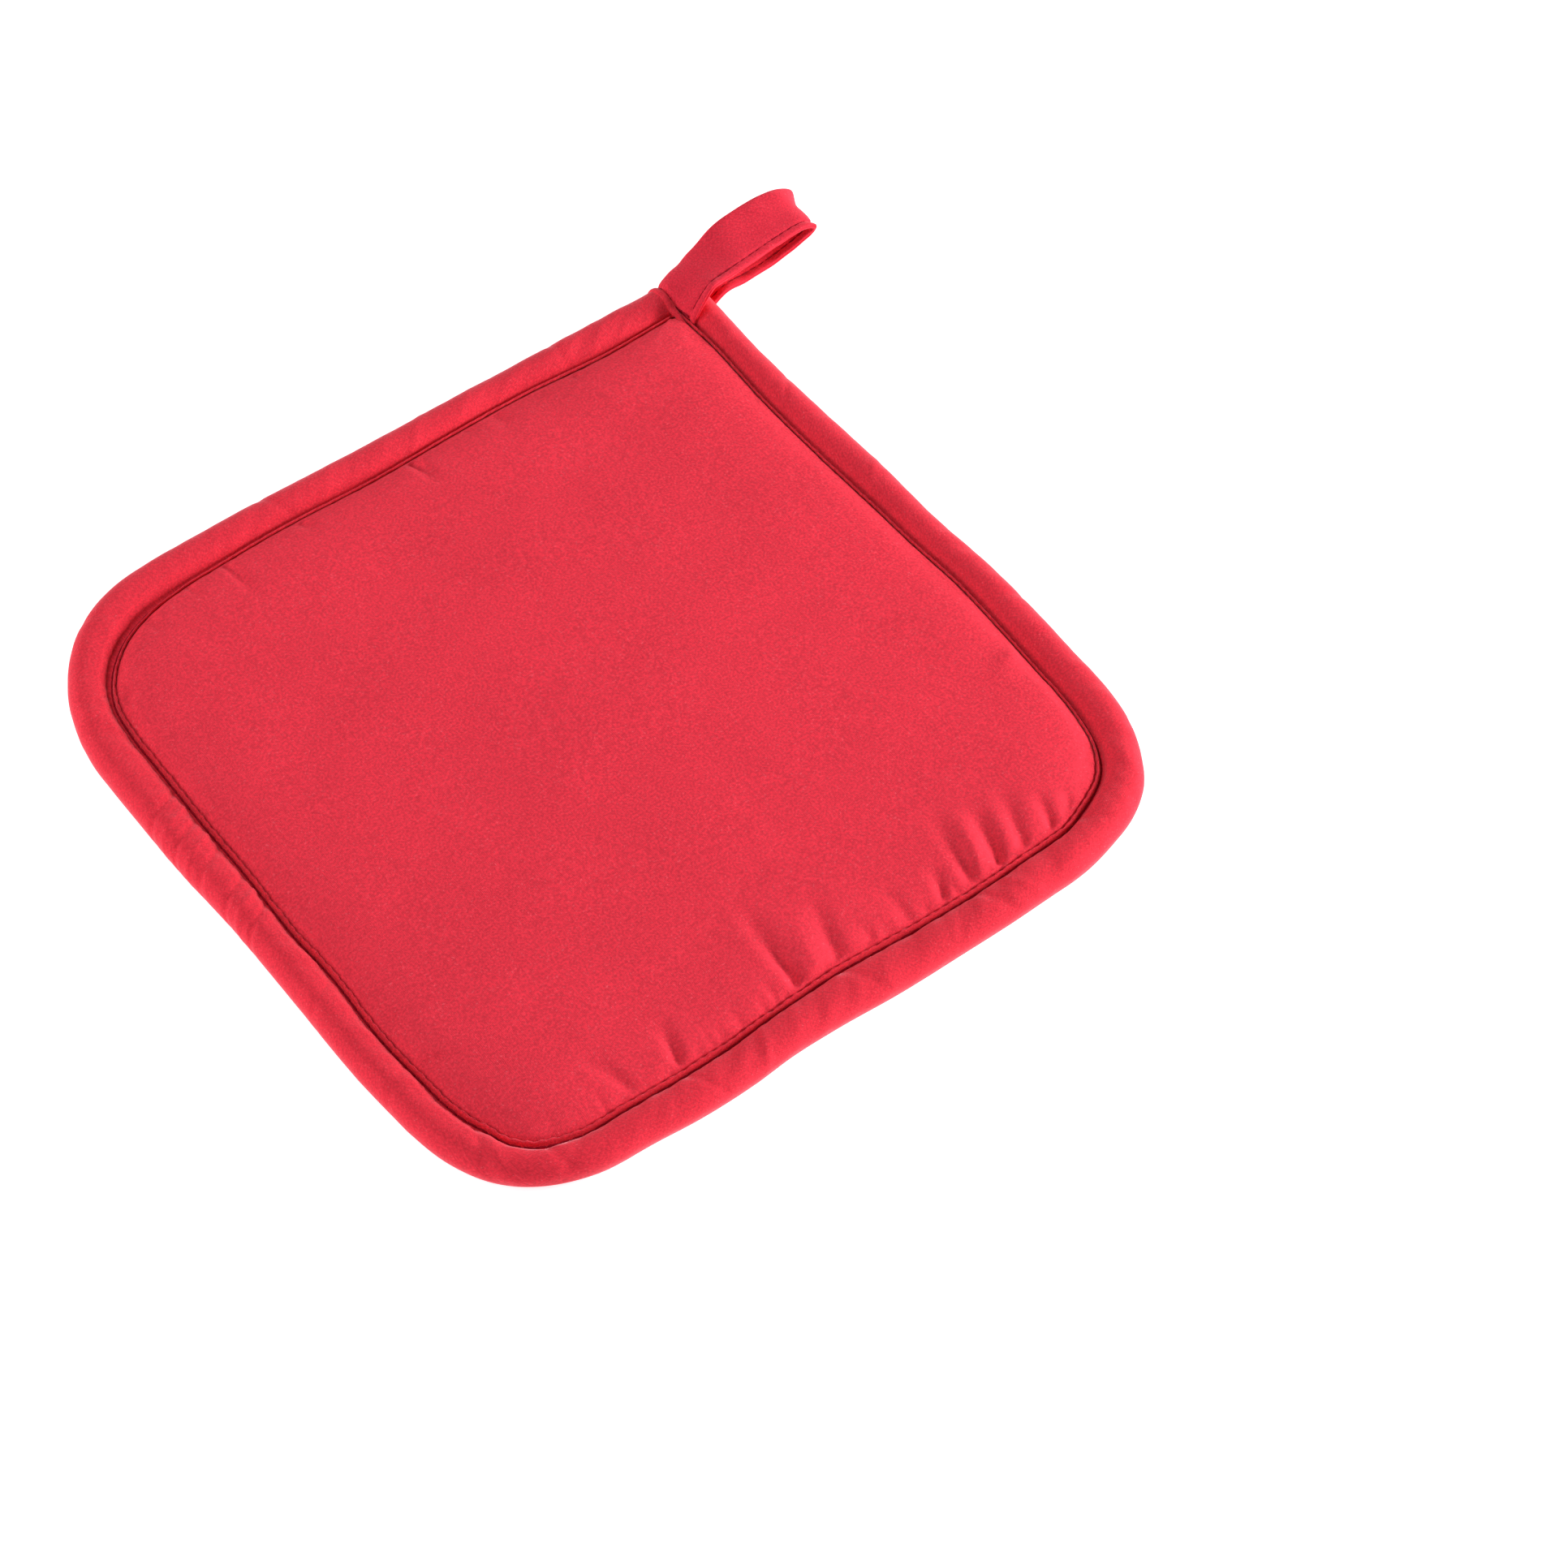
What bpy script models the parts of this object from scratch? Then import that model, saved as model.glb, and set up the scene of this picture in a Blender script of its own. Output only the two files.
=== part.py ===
"""Square pot holder, 200 mm, with a padded cotton face, a foam rubber back, a bias tape
binding and a hanging loop at its one sharp corner. It lies on a table, face up.

Frame: the centre of the underside is the origin, +Z is up, the sides run along X and Y,
and the loop leaves the corner at +X +Y. Lengths in the tables are in millimetres.
"""

import math

import bmesh
import bpy
import numpy as np

MM = 0.001

# ---------------------------------------------------------------- driving sizes
HALF = 100.0  # half of the 200 mm square
RADIUS_RIGHT = 44.0  # corner at +X -Y
RADIUS_LOOP = 3.0  # corner at +X +Y, left square for the loop
RADIUS_LEFT = 47.0  # corner at -X +Y
RADIUS_NEAR = 34.0  # corner at -X -Y
CORNERS = {1: RADIUS_RIGHT, 3: RADIUS_LOOP, 5: RADIUS_LEFT, 7: RADIUS_NEAR}
LEAST_RADIUS = 1.0
ROUNDING = 0.8  # growth of a sharp corner's radius on the rings inside the seam
MOST_ROUND = 0.5  # largest corner radius as a share of a ring's half width

GAP = 0.3  # between pieces that are sewn together
TAPE = 1.15  # thickness of the folded binding
LOOP_TAPE = 1.3  # thickness of the loop, tape folded in two
FOAM = 2.6  # thickness of the foam rubber sheet
CORNER_RISE = 0.8  # the layers of tape at the loop's corner make it this much thicker
RISE_FLAT = 16.0  # the corner is at its thickest this near its point
RISE_FADE = 44.0  # and thins out over this length
FULL_HEIGHT = 8.0  # height that the rise is measured at
CENTRE_CROWN = 0.6  # extra height of the face at the very middle

# Stations run once round the edge and count 1 for each side and 1 for each corner:
# 0 near side, 1 right corner, 2 right side, 3 loop corner, 4 far side, 5 left corner,
# 6 left side, 7 near corner.
EDGE = (
    # station, edge moved outwards
    (0.05, 0.0),
    (0.15, 1.0),
    (0.27, 0.6),
    (0.36, -0.8),
    (0.46, -1.1),
    (0.60, -0.2),
    (0.75, 0.4),
    (0.86, 0.4),
    (0.97, 0.0),
    (1.10, -0.3),
    (1.22, 0.0),
    (1.35, 1.0),
    (1.46, 1.5),
    (1.58, 0.8),
    (1.70, 0.0),
    (1.85, -0.9),
    (2.00, -1.0),
    (2.14, 0.3),
    (2.25, 0.6),
    (2.36, -0.4),
    (2.50, -0.1),
    (2.66, -0.4),
    (2.76, -0.5),
    (2.86, 0.0),
    (2.94, 0.9),
    (3.50, 0.5),
    (4.10, 0.1),
    (4.40, 0.1),
    (4.66, -0.8),
    (4.80, -0.3),
    (5.05, -0.9),
    (5.25, 0.0),
    (5.38, 0.4),
    (5.58, -0.3),
    (5.85, -0.8),
    (6.12, 0.0),
    (6.27, 0.2),
    (6.45, -0.7),
    (6.62, -0.4),
    (6.86, 0.6),
    (7.06, -0.3),
    (7.25, 0.0),
    (7.42, 0.5),
    (7.85, -0.1),
)
SEAM = (
    # station, seam moved inwards
    (0.05, 0.0),
    (0.17, -0.2),
    (0.31, 0.0),
    (0.53, 0.5),
    (0.72, 0.0),
    (0.85, -0.1),
    (1.00, 0.3),
    (1.50, 0.9),
    (2.04, 0.7),
    (2.25, -0.3),
    (2.61, 0.3),
    (2.77, -0.2),
    (2.89, -0.9),
    (3.00, 0.0),
    (4.03, 0.2),
    (4.11, 0.6),
    (4.31, -0.7),
    (4.46, -0.6),
    (4.61, 0.0),
    (4.93, 0.6),
    (5.50, 0.8),
    (6.04, 0.7),
    (6.21, 0.5),
    (6.53, -0.3),
    (6.65, 0.0),
    (6.82, -0.6),
    (6.95, -0.1),
    (7.50, -0.5),
    (7.90, 0.0),
)

# Section through the tape, from the tip of its lower edge round the roll to the
# folded edge on the face. inset is measured inwards from the outer edge.
TAPE_OUTSIDE = (
    # inset, height
    (11.1, 0.00),
    (3.4, 0.00),
    (1.7, 0.45),
    (0.6, 1.45),
    (0.1, 2.80),
    (0.0, 4.05),
    (0.3, 5.35),
    (1.2, 6.55),
    (2.6, 7.45),
    (4.3, 7.80),
    (6.0, 7.40),
    (7.4, 6.70),
    (8.3, 6.15),
    (8.9, 6.20),
    (9.5, 6.75),
    (10.3, 6.70),
    (10.8, 6.20),
)
TAPE_INSIDE = (
    # inset, height
    (10.5, 5.75),
    (8.5, 5.20),
    (6.7, 5.75),
    (4.3, 6.50),
    (2.5, 6.15),
    (1.4, 5.00),
    (1.3, 3.60),
    (1.9, 1.90),
    (3.3, 1.15),
    (11.1, 1.15),
)

# Top of the face, from its edge inside the tape to the crown.
FACE_TOP = (
    # inset, height
    (2.3, 4.60),
    (4.4, 6.00),
    (6.7, 5.25),
    (8.5, 4.65),
    (10.4, 4.90),
    (11.6, 5.95),
    (13.2, 7.15),
    (15.6, 7.95),
    (19.0, 8.50),
    (24.0, 8.90),
    (31.0, 9.15),
    (42.0, 9.35),
    (58.0, 9.55),
    (78.0, 9.70),
)
FACE_BOTTOM = (
    # inset, height
    (2.3, 3.85),
    (14.0, 3.50),
    (22.0, FOAM + GAP),
    (45.0, FOAM + GAP),
)
FOAM_TOP = (
    # inset, height
    (2.3, 3.50),
    (14.0, 3.15),
    (22.0, FOAM),
    (45.0, FOAM),
)
FOAM_BOTTOM = (
    # inset, height
    (2.3, 2.80),
    (3.6, 1.55),
    (11.8, 1.50),
    (13.4, 0.70),
    (15.0, 0.15),
    (17.0, 0.00),
    (30.0, 0.00),
    (45.0, 0.00),
)
MIDDLE = 30.0  # inside this inset the rings of the face have fewer points

# Puckers that the sewing draws into the face: soft creases square to the seam, with
# the padding standing up between them.
# x and y at the seam, x and y where it fades out, height, half width
PUCKERS = (
    (-11.8, -88.6, -10.4, -61.0, -0.85, 2.3),
    (-44.6, -88.6, -42.0, -77.0, -0.65, 2.0),
    (-57.0, -88.4, -62.0, -75.0, -0.40, 2.2),
    (-17.5, -88.6, -18.0, -82.0, -0.30, 1.5),
    (-0.6, -88.6, 5.4, -67.0, -0.60, 2.6),
    (9.0, -88.6, 9.6, -83.0, -0.25, 1.5),
    (18.5, -88.6, 19.0, -76.0, -0.25, 2.2),
    (29.0, -88.6, 31.6, -79.5, -0.60, 1.8),
    (36.6, -88.6, 41.0, -66.0, -0.50, 2.2),
    (45.2, -88.6, 49.6, -70.0, -0.95, 2.5),
    (52.2, -88.4, 58.5, -70.0, -0.55, 2.3),
    (61.0, -87.6, 64.0, -77.0, -0.60, 2.0),
    (67.5, -85.8, 71.0, -79.0, -0.30, 2.0),
    (40.6, -86.0, 45.2, -70.0, 0.35, 2.4),
    (-5.8, -86.0, -2.5, -68.0, 0.30, 3.0),
    (9.6, 88.6, 9.8, 75.0, -0.75, 1.7),
    (57.2, 89.6, 57.8, 83.5, -0.50, 1.4),
    (26.2, 89.2, 26.4, 85.5, -0.40, 1.4),
    (34.6, 88.0, 34.4, 78.5, -0.30, 2.2),
    (-22.4, 87.6, -21.6, 79.5, -0.45, 1.8),
    (-43.8, 86.8, -44.2, 69.0, -0.50, 1.7),
    (-54.4, 86.0, -54.8, 79.0, -0.40, 1.5),
    (-66.6, 84.0, -68.6, 73.5, -0.35, 2.0),
    (-88.6, -57.0, -77.0, -61.5, -0.40, 2.0),
    (-83.4, 65.4, -73.0, 69.5, -0.35, 2.2),
    (-88.6, -43.0, -80.0, -44.0, -0.25, 1.8),
    (-88.4, -28.0, -81.0, -28.5, -0.20, 1.8),
    (86.0, -44.0, 74.0, -50.0, 0.35, 3.5),
)

# The loop: the tape's centre surface from the end sewn on the face, over the tip, to
# the end at the edge of the corner. near is the tape's edge towards -Y, far its edge
# towards +Y, and the two bows lift the tape half way across and at four fifths.
LOOP = (
    # x near, y near, z near, x far, y far, z far, bow half, bow far
    (91.2, 83.9, 8.30, 91.2, 98.8, 8.75, 0.60, 1.50),
    (93.2, 84.4, 9.50, 93.2, 99.5, 8.85, 0.45, 1.20),
    (96.0, 85.2, 11.60, 96.0, 100.2, 8.85, 0.30, 0.95),
    (99.2, 86.1, 13.00, 99.6, 100.9, 8.80, 0.20, 0.60),
    (102.4, 86.8, 12.80, 102.8, 101.7, 9.80, 0.20, 0.20),
    (106.5, 87.4, 12.45, 106.2, 102.3, 11.40, 0.20, 0.10),
    (110.5, 87.8, 12.30, 110.4, 102.9, 13.30, 0.10, 0.00),
    (115.0, 88.3, 12.35, 115.6, 103.4, 14.40, 0.00, 0.00),
    (120.0, 88.7, 12.75, 121.0, 103.7, 14.65, -0.10, 0.00),
    (125.0, 89.0, 13.15, 126.2, 103.9, 14.65, -0.20, 0.00),
    (129.6, 89.3, 13.15, 130.8, 104.0, 14.10, -0.20, 0.10),
    (132.4, 89.4, 12.50, 134.9, 104.1, 12.10, -0.10, 0.10),
    (133.9, 89.5, 11.20, 137.0, 104.2, 10.00, 0.00, 0.00),
    (132.8, 89.6, 9.80, 135.6, 104.4, 8.20, 0.00, 0.00),
    (129.6, 89.6, 8.65, 131.8, 104.7, 7.10, 0.00, 0.00),
    (124.5, 89.6, 7.00, 126.4, 104.8, 5.85, 0.00, 0.00),
    (118.5, 89.5, 5.70, 120.0, 104.8, 5.05, 0.00, 0.00),
    (112.8, 89.2, 5.65, 113.6, 104.3, 5.05, 0.00, 0.00),
    (108.0, 88.9, 6.15, 108.3, 103.4, 5.45, 0.00, 0.00),
    (105.0, 88.6, 6.10, 105.1, 102.5, 5.45, 0.00, 0.00),
    (103.0, 88.4, 5.40, 103.0, 101.8, 4.90, 0.00, 0.00),
    (101.5, 88.2, 4.70, 101.25, 101.3, 4.45, 0.00, 0.00),
)
# The squashed fold at the tip: how far it falls back across the tape.
TIP_CRUMPLE = (
    # share of the way across, fall back
    (0.00, 0.0),
    (0.12, 1.4),
    (0.22, 0.8),
    (0.40, 1.1),
    (0.60, 1.7),
    (0.79, 1.0),
    (1.00, 0.0),
)
TIP_ROW = 12
LOOP_STEPS = 2  # sections between two rows of the loop's table

# ---------------------------------------------------------------- colours
RED_FACE = (0.72, 0.040, 0.066, 1.0)
RED_TAPE = (0.76, 0.040, 0.064, 1.0)
RED_LOOP = (0.77, 0.041, 0.064, 1.0)
SLATE = (0.058, 0.064, 0.084, 1.0)


def ease(t):
    """0 below 0, 1 above 1, and smooth between."""
    t = np.clip(t, 0.0, 1.0)
    return t * t * (3.0 - 2.0 * t)


def uneven(table, station):
    """A table of unevenness read smoothly between its rows, all the way round."""
    last = table[-1]
    before = (last[0] - 8.0, last[1])
    for row in table + ((table[0][0] + 8.0, table[0][1]),):
        if station <= row[0]:
            share = float(ease((station - before[0]) / (row[0] - before[0])))
            return before[1] + (row[1] - before[1]) * share
        before = row
    return before[1]


def seam_weight(inset):
    """How much of the seam's unevenness a ring at this inset takes."""
    return float(ease(1.0 - abs(inset - 9.6) / 7.0))


def corner_radius(full, inset):
    """Radius of a corner on the ring at this inset: inner rings are rounder."""
    inner = LEAST_RADIUS + ROUNDING * max(inset - 9.5, 0.0)
    inner = min(inner, MOST_ROUND * (HALF - inset))
    return max(full - inset, inner)


def side_place(number, share, inset):
    """A point of a straight side and the direction outwards from it."""
    start = -HALF + inset + corner_radius(CORNERS[(number - 1) % 8], inset)
    end = HALF - inset - corner_radius(CORNERS[(number + 1) % 8], inset)
    along = start + (end - start) * share
    turn = math.radians(45.0 * number)
    c = math.cos(turn)
    s = math.sin(turn)
    out = HALF - inset
    return along * c + out * s, along * s - out * c, s, -c


def corner_place(number, share, inset):
    """A point of a rounded corner and the direction outwards from it."""
    radius = corner_radius(CORNERS[number], inset)
    centre = HALF - inset - radius
    turn = math.radians(45.0 * (number - 1))
    c = math.cos(turn)
    s = math.sin(turn)
    angle = math.radians(-90.0 + 90.0 * share) + turn
    x = centre * c + centre * s + radius * math.cos(angle)
    y = centre * s - centre * c + radius * math.sin(angle)
    return x, y, math.cos(angle), math.sin(angle)


# Points on each side and corner, in the order of the stations.
FINE = (58, 18, 30, 3, 50, 12, 28, 12)
PLAIN = (14, 10, 18, 4, 20, 10, 14, 9)
ROUND_EDGE = (15, 10, 20, 4, 22, 10, 15, 9)


def ring(inset, counts):
    """The closed outline of the pot holder, moved inwards by inset, in millimetres.

    The third number of each point is its station: it grows by one for each side
    and each corner, so rings with other counts can be matched to it.
    """
    edge = float(ease(1.0 - inset / 30.0))
    seam = seam_weight(inset)
    points = []
    for number, count in enumerate(counts):
        place = corner_place if number % 2 else side_place
        for step in range(count):
            station = number + step / count
            x, y, out_x, out_y = place(number, step / count, inset)
            out = uneven(EDGE, station) * edge - uneven(SEAM, station) * seam
            points.append((x + out_x * out, y + out_y * out, station))
    return np.array(points)


def thicken(x, y, z):
    """A height once the layers at the loop's corner have made it thicker there."""
    reach = math.hypot(x - HALF, y - HALF)
    rise = CORNER_RISE * (1.0 - float(ease((reach - RISE_FLAT) / RISE_FADE)))
    return z * (1.0 + rise / FULL_HEIGHT)


def pucker(x, y):
    """Height of the puckers in the face at this place."""
    total = 0.0
    for x0, y0, x1, y1, height, half_width in PUCKERS:
        ax = x1 - x0
        ay = y1 - y0
        length = math.hypot(ax, ay)
        along = ((x - x0) * ax + (y - y0) * ay) / (length * length)
        across = ((x - x0) * ay - (y - y0) * ax) / length
        if not -0.4 < along < 1.0 or abs(across) > 3.0 * half_width:
            continue
        taper = float(ease(1.0 - max(along, 0.0))) * float(ease((along + 0.4) / 0.4))
        share = across / half_width
        total += height * taper * (1.0 - 0.6 * share * share) * math.exp(-share * share)
    return total


class Shell:
    """Collects rings of points into one closed surface."""

    def __init__(self):
        self.mesh = bmesh.new()
        self.stations = {}

    def add_ring(self, plan, heights):
        verts = []
        for place, z in zip(plan, heights):
            vert = self.mesh.verts.new((place[0] * MM, place[1] * MM, z * MM))
            verts.append(vert)
            if len(place) > 2:
                self.stations[vert] = place[2]
        return verts

    def bridge(self, first, second):
        """Faces between two rings, which may have different numbers of points."""
        many = len(first)
        few = len(second)
        if many == few:
            for i in range(many):
                j = (i + 1) % many
                self.mesh.faces.new((first[i], first[j], second[j], second[i]))
            return
        keys = [self.stations[vert] for vert in first] + [8.0]
        others = [self.stations[vert] for vert in second] + [8.0]
        a = 0
        b = 0
        while a < many or b < few:
            if b >= few or (a < many and keys[a + 1] <= others[b + 1]):
                triangle = (first[a % many], first[(a + 1) % many], second[b % few])
                a += 1
            else:
                triangle = (first[a % many], second[(b + 1) % few], second[b % few])
                b += 1
            self.mesh.faces.new(triangle)

    def fan(self, loop, x, y, z, flip=False):
        middle = self.mesh.verts.new((x * MM, y * MM, z * MM))
        for i, vert in enumerate(loop):
            after = loop[(i + 1) % len(loop)]
            corners = (after, vert, middle) if flip else (vert, after, middle)
            self.mesh.faces.new(corners)

    def finish(self, name, material):
        bmesh.ops.recalc_face_normals(self.mesh, faces=self.mesh.faces)
        data = bpy.data.meshes.new(name)
        self.mesh.to_mesh(data)
        self.mesh.free()
        data.shade_smooth()
        data.set_sharp_from_angle(angle=math.radians(50))
        data.materials.append(material)
        node = bpy.data.objects.new(name, data)
        home.objects.link(node)
        return node


def face_height(x, y, inset, height):
    """Height of the face at a place, with its crown, puckers and thick corner."""
    height += pucker(x, y) * float(ease((inset - 10.9) / 2.2))
    height += CENTRE_CROWN * float(ease((inset - 30.0) / 70.0))
    return thicken(x, y, height)


def same_count(inset):
    """Fine rings near the seam, plain rings in the middle."""
    if inset < MIDDLE:
        return ring(inset, FINE)
    return ring(inset, PLAIN)


def material(name, colour, roughness):
    """A plain dyed surface."""
    made = bpy.data.materials.new(name)
    made.use_nodes = True
    shader = made.node_tree.nodes["Principled BSDF"]
    shader.inputs["Base Color"].default_value = colour
    shader.inputs["Roughness"].default_value = roughness
    shader.inputs["Metallic"].default_value = 0.0
    made.diffuse_color = colour
    return made


def build_face():
    """The padded cotton face: one filled solid with a crown and drawn-in sides."""
    shell = Shell()
    loops = []
    for inset, height in FACE_TOP:
        plan = same_count(inset)
        heights = [face_height(x, y, inset, height) for x, y, _ in plan]
        loops.append(shell.add_ring(plan, heights))
    for outer, inner in zip(loops, loops[1:]):
        shell.bridge(outer, inner)
    shell.fan(loops[-1], 0.0, 0.0, FACE_TOP[-1][1] + 0.1 + CENTRE_CROWN)
    below = []
    for inset, height in FACE_BOTTOM:
        plan = ring(inset, FINE)
        if inset > 5.0:
            plan = ring(inset, PLAIN)
        heights = [thicken(x, y, height) for x, y, _ in plan]
        below.append(shell.add_ring(plan, heights))
    shell.bridge(below[0], loops[0])
    for outer, inner in zip(below, below[1:]):
        shell.bridge(outer, inner)
    shell.fan(below[-1], 0.0, 0.0, FACE_BOTTOM[-1][1], flip=True)
    return shell.finish("front_panel", material("red_cotton", RED_FACE, 0.85))


def build_back():
    """The foam rubber sheet: flat on the table, thinner where the tape holds it."""
    shell = Shell()
    tops = []
    for inset, height in FOAM_TOP:
        plan = ring(inset, PLAIN)
        heights = [thicken(x, y, height) for x, y, _ in plan]
        tops.append(shell.add_ring(plan, heights))
    bottoms = []
    for inset, height in FOAM_BOTTOM:
        plan = ring(inset, PLAIN)
        heights = [thicken(x, y, height) for x, y, _ in plan]
        bottoms.append(shell.add_ring(plan, heights))
    for loops in (tops, bottoms):
        for outer, inner in zip(loops, loops[1:]):
            shell.bridge(outer, inner)
    shell.bridge(bottoms[0], tops[0])
    shell.fan(tops[-1], 0.0, 0.0, FOAM)
    shell.fan(bottoms[-1], 0.0, 0.0, 0.0, flip=True)
    return shell.finish("back_panel", material("slate_foam_rubber", SLATE, 0.6))


def build_binding():
    """The tape folded round the edge: a roll, a stitch groove and a folded edge."""
    shell = Shell()
    loops = []
    for inset, height in TAPE_OUTSIDE + TAPE_INSIDE:
        plan = ring(inset, ROUND_EDGE)
        heights = [thicken(x, y, height) for x, y, _ in plan]
        loops.append(shell.add_ring(plan, heights))
    for outer, inner in zip(loops, loops[1:] + loops[:1]):
        shell.bridge(outer, inner)
    return shell.finish("binding", material("red_bias_tape", RED_TAPE, 0.8))


def spline(rows, t):
    """A smooth curve through the rows, one row for each whole t."""
    last = len(rows) - 1
    i = min(int(t), last - 1)
    u = t - i
    before = rows[max(i - 1, 0)]
    start = rows[i]
    end = rows[i + 1]
    after = rows[min(i + 2, last)]
    rise = (end - before) / 2.0
    fall = (after - start) / 2.0
    a = 2.0 * start - 2.0 * end + rise + fall
    b = 3.0 * end - 3.0 * start - 2.0 * rise - fall
    return ((a * u + b) * u + rise) * u + start


def loop_surface(rows_along, shares):
    """Centre surface of the loop's tape as a grid of points."""
    rows = np.array(LOOP)
    grid = np.zeros((len(rows_along), len(shares), 3))
    crumple = np.array(TIP_CRUMPLE)
    for i, t in enumerate(rows_along):
        near_x, near_y, near_z, far_x, far_y, far_z, half, far_bow = spline(rows, t)
        near = np.array((near_x, near_y, near_z))
        far = np.array((far_x, far_y, far_z))
        at_tip = math.exp(-(((t - TIP_ROW) / 1.6) ** 2))
        for j, share in enumerate(shares):
            place = near + (far - near) * share
            bow = np.interp(share, (0.0, 0.5, 0.8, 1.0), (0.0, half, far_bow, 0.0))
            place[2] += bow
            place[0] -= at_tip * np.interp(share, crumple[:, 0], crumple[:, 1])
            grid[i, j] = place
    return grid


def build_loop():
    """The hanging loop: tape folded in two, sewn down at both ends on its corner."""
    shares = [row[0] for row in TIP_CRUMPLE]
    count = (len(LOOP) - 1) * LOOP_STEPS + 1
    along = [i / LOOP_STEPS for i in range(count)]
    grid = loop_surface(along, shares)
    tangent = np.gradient(grid, axis=0)
    across = np.gradient(grid, axis=1)
    normal = np.cross(tangent, across)
    normal /= np.linalg.norm(normal, axis=2)[:, :, None]
    half = LOOP_TAPE / 2.0
    shell = Shell()
    loops = []
    for i in range(count):
        upper = grid[i] + normal[i] * half
        lower = grid[i] - normal[i] * half
        sideways = grid[i, -1] - grid[i, 0]
        sideways /= np.linalg.norm(sideways)
        outline = [point for point in upper]
        outline[0] = outline[0] + sideways * 0.25
        outline[-1] = outline[-1] - sideways * 0.25
        outline.append(grid[i, -1] + sideways * 0.1)
        back = [point for point in lower[::-1]]
        back[0] = back[0] - sideways * 0.25
        back[-1] = back[-1] + sideways * 0.25
        outline += back
        outline.append(grid[i, 0] - sideways * 0.1)
        outline = np.array(outline)
        loops.append(shell.add_ring(outline[:, :2], outline[:, 2]))
    for before, after in zip(loops, loops[1:]):
        shell.bridge(before, after)
    for end in (loops[0], loops[-1]):
        cap = shell.mesh.faces.new(end)
        bmesh.ops.triangulate(shell.mesh, faces=[cap])
    return shell.finish("hanging_loop", material("red_loop_tape", RED_LOOP, 0.8))


for thing in list(bpy.data.objects):
    bpy.data.objects.remove(thing, do_unlink=True)

home = bpy.data.collections.new("pot_holder")
bpy.context.scene.collection.children.link(home)

build_face()
build_back()
build_binding()
build_loop()
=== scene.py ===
"""Looks of the square pot holder: a padded cotton face, bias tape round the edge, its
sewing, the hanging loop and the embossed foam rubber underneath.

Shapes are worked out in millimetres, and piece() makes metres of them. Stations run once
round the edge: 0 near side, 1 right corner, 2 right side, 3 loop corner, 4 far side,
5 left corner, 6 left side, 7 near corner. An inset is measured inwards from the edge.
A wave is given as its height either way, its length and the seed of its random draws.
"""

import math

import bpy
import numpy as np
from mathutils import Euler, Matrix


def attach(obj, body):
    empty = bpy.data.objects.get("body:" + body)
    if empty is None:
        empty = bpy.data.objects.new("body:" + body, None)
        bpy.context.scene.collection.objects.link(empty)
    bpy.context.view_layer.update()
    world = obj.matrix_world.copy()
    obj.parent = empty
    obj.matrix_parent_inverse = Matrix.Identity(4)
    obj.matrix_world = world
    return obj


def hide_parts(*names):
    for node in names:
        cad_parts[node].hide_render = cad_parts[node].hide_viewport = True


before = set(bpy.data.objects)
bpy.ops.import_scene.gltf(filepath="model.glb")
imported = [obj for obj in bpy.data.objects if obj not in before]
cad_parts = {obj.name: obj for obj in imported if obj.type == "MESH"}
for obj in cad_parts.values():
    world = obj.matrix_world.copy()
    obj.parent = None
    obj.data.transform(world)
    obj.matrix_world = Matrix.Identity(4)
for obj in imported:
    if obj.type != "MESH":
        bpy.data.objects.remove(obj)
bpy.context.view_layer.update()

MM = 0.001

# ---- the outline
STATIONS = 8
HALF = 100.0  # from the centre to a straight side
CORNERS = np.array((0.0, 44.0, 0.0, 3.0, 0.0, 47.0, 0.0, 34.0))  # radius, by station
TAPE_SHOWN = 9.5  # width of the bound edge
LEAST_RADIUS = 1.0
ROUNDING = 0.8  # what its radius gains per millimetre inside the tape
MOST_ROUND = 0.5  # and its most, as a share of the ring's half width
EDGE_FADE = 30.0  # inset at which the edge's unevenness has died out
SEAM_INSET = 9.6
SEAM_REACH = 7.0  # how far from there its unevenness dies out
CORNER_RISE = 0.8  # what the layers at the loop's corner add
RISE_FLAT = 16.0  # how far from there that rise is full
RISE_FADE = 44.0  # and over what length it fades
FULL_HEIGHT = 8.0  # height of the roll
GROOVE_INSET = 9.2  # of the line that stitches are counted on
STITCH = 2.7  # from one needle hole to the next
ROUND_STEPS = 16000  # for lengths round the edge
INNER_RING = 40.0  # inset of the other ring that spread() suits
WAVE_PARTS = 9  # sine waves that add up to a wave
WAVE_LENGTHS = (0.7, 1.6)  # their shortest and longest, as shares of its length
WAVE_PEAK = 4.0  # what they mostly add up to

EDGE = (
    # station, edge moved outwards
    (0.05, 0.2), (0.15, 1.1), (0.27, 1.0), (0.36, 0.1), (0.46, 0.1), (0.6, 0.9),
    (0.75, 0.9), (0.86, 0.8), (0.97, 0.3),
    (1.1, 0.0), (1.22, 0.1), (1.35, 1.1), (1.46, 1.5), (1.58, 0.8), (1.7, 0.0),
    (1.85, -0.9),
    (2.0, -1.1), (2.14, 0.2), (2.25, 0.6), (2.36, -0.1), (2.5, 0.3), (2.66, 0.0),
    (2.76, -0.2), (2.86, 0.2), (2.94, 1.0),
    (3.5, 0.5),
    (4.1, -0.1), (4.4, -0.1), (4.66, -0.7), (4.84, -0.6),
    (5.05, -1.3), (5.25, -0.4), (5.42, -0.1), (5.62, -0.5), (5.85, -0.8),
    (6.12, 0.0), (6.27, 0.3), (6.45, -0.3), (6.62, 0.0), (6.86, 0.6),
    (7.06, -0.4), (7.25, -0.1), (7.42, 0.5), (7.85, 0.0),
)
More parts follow.
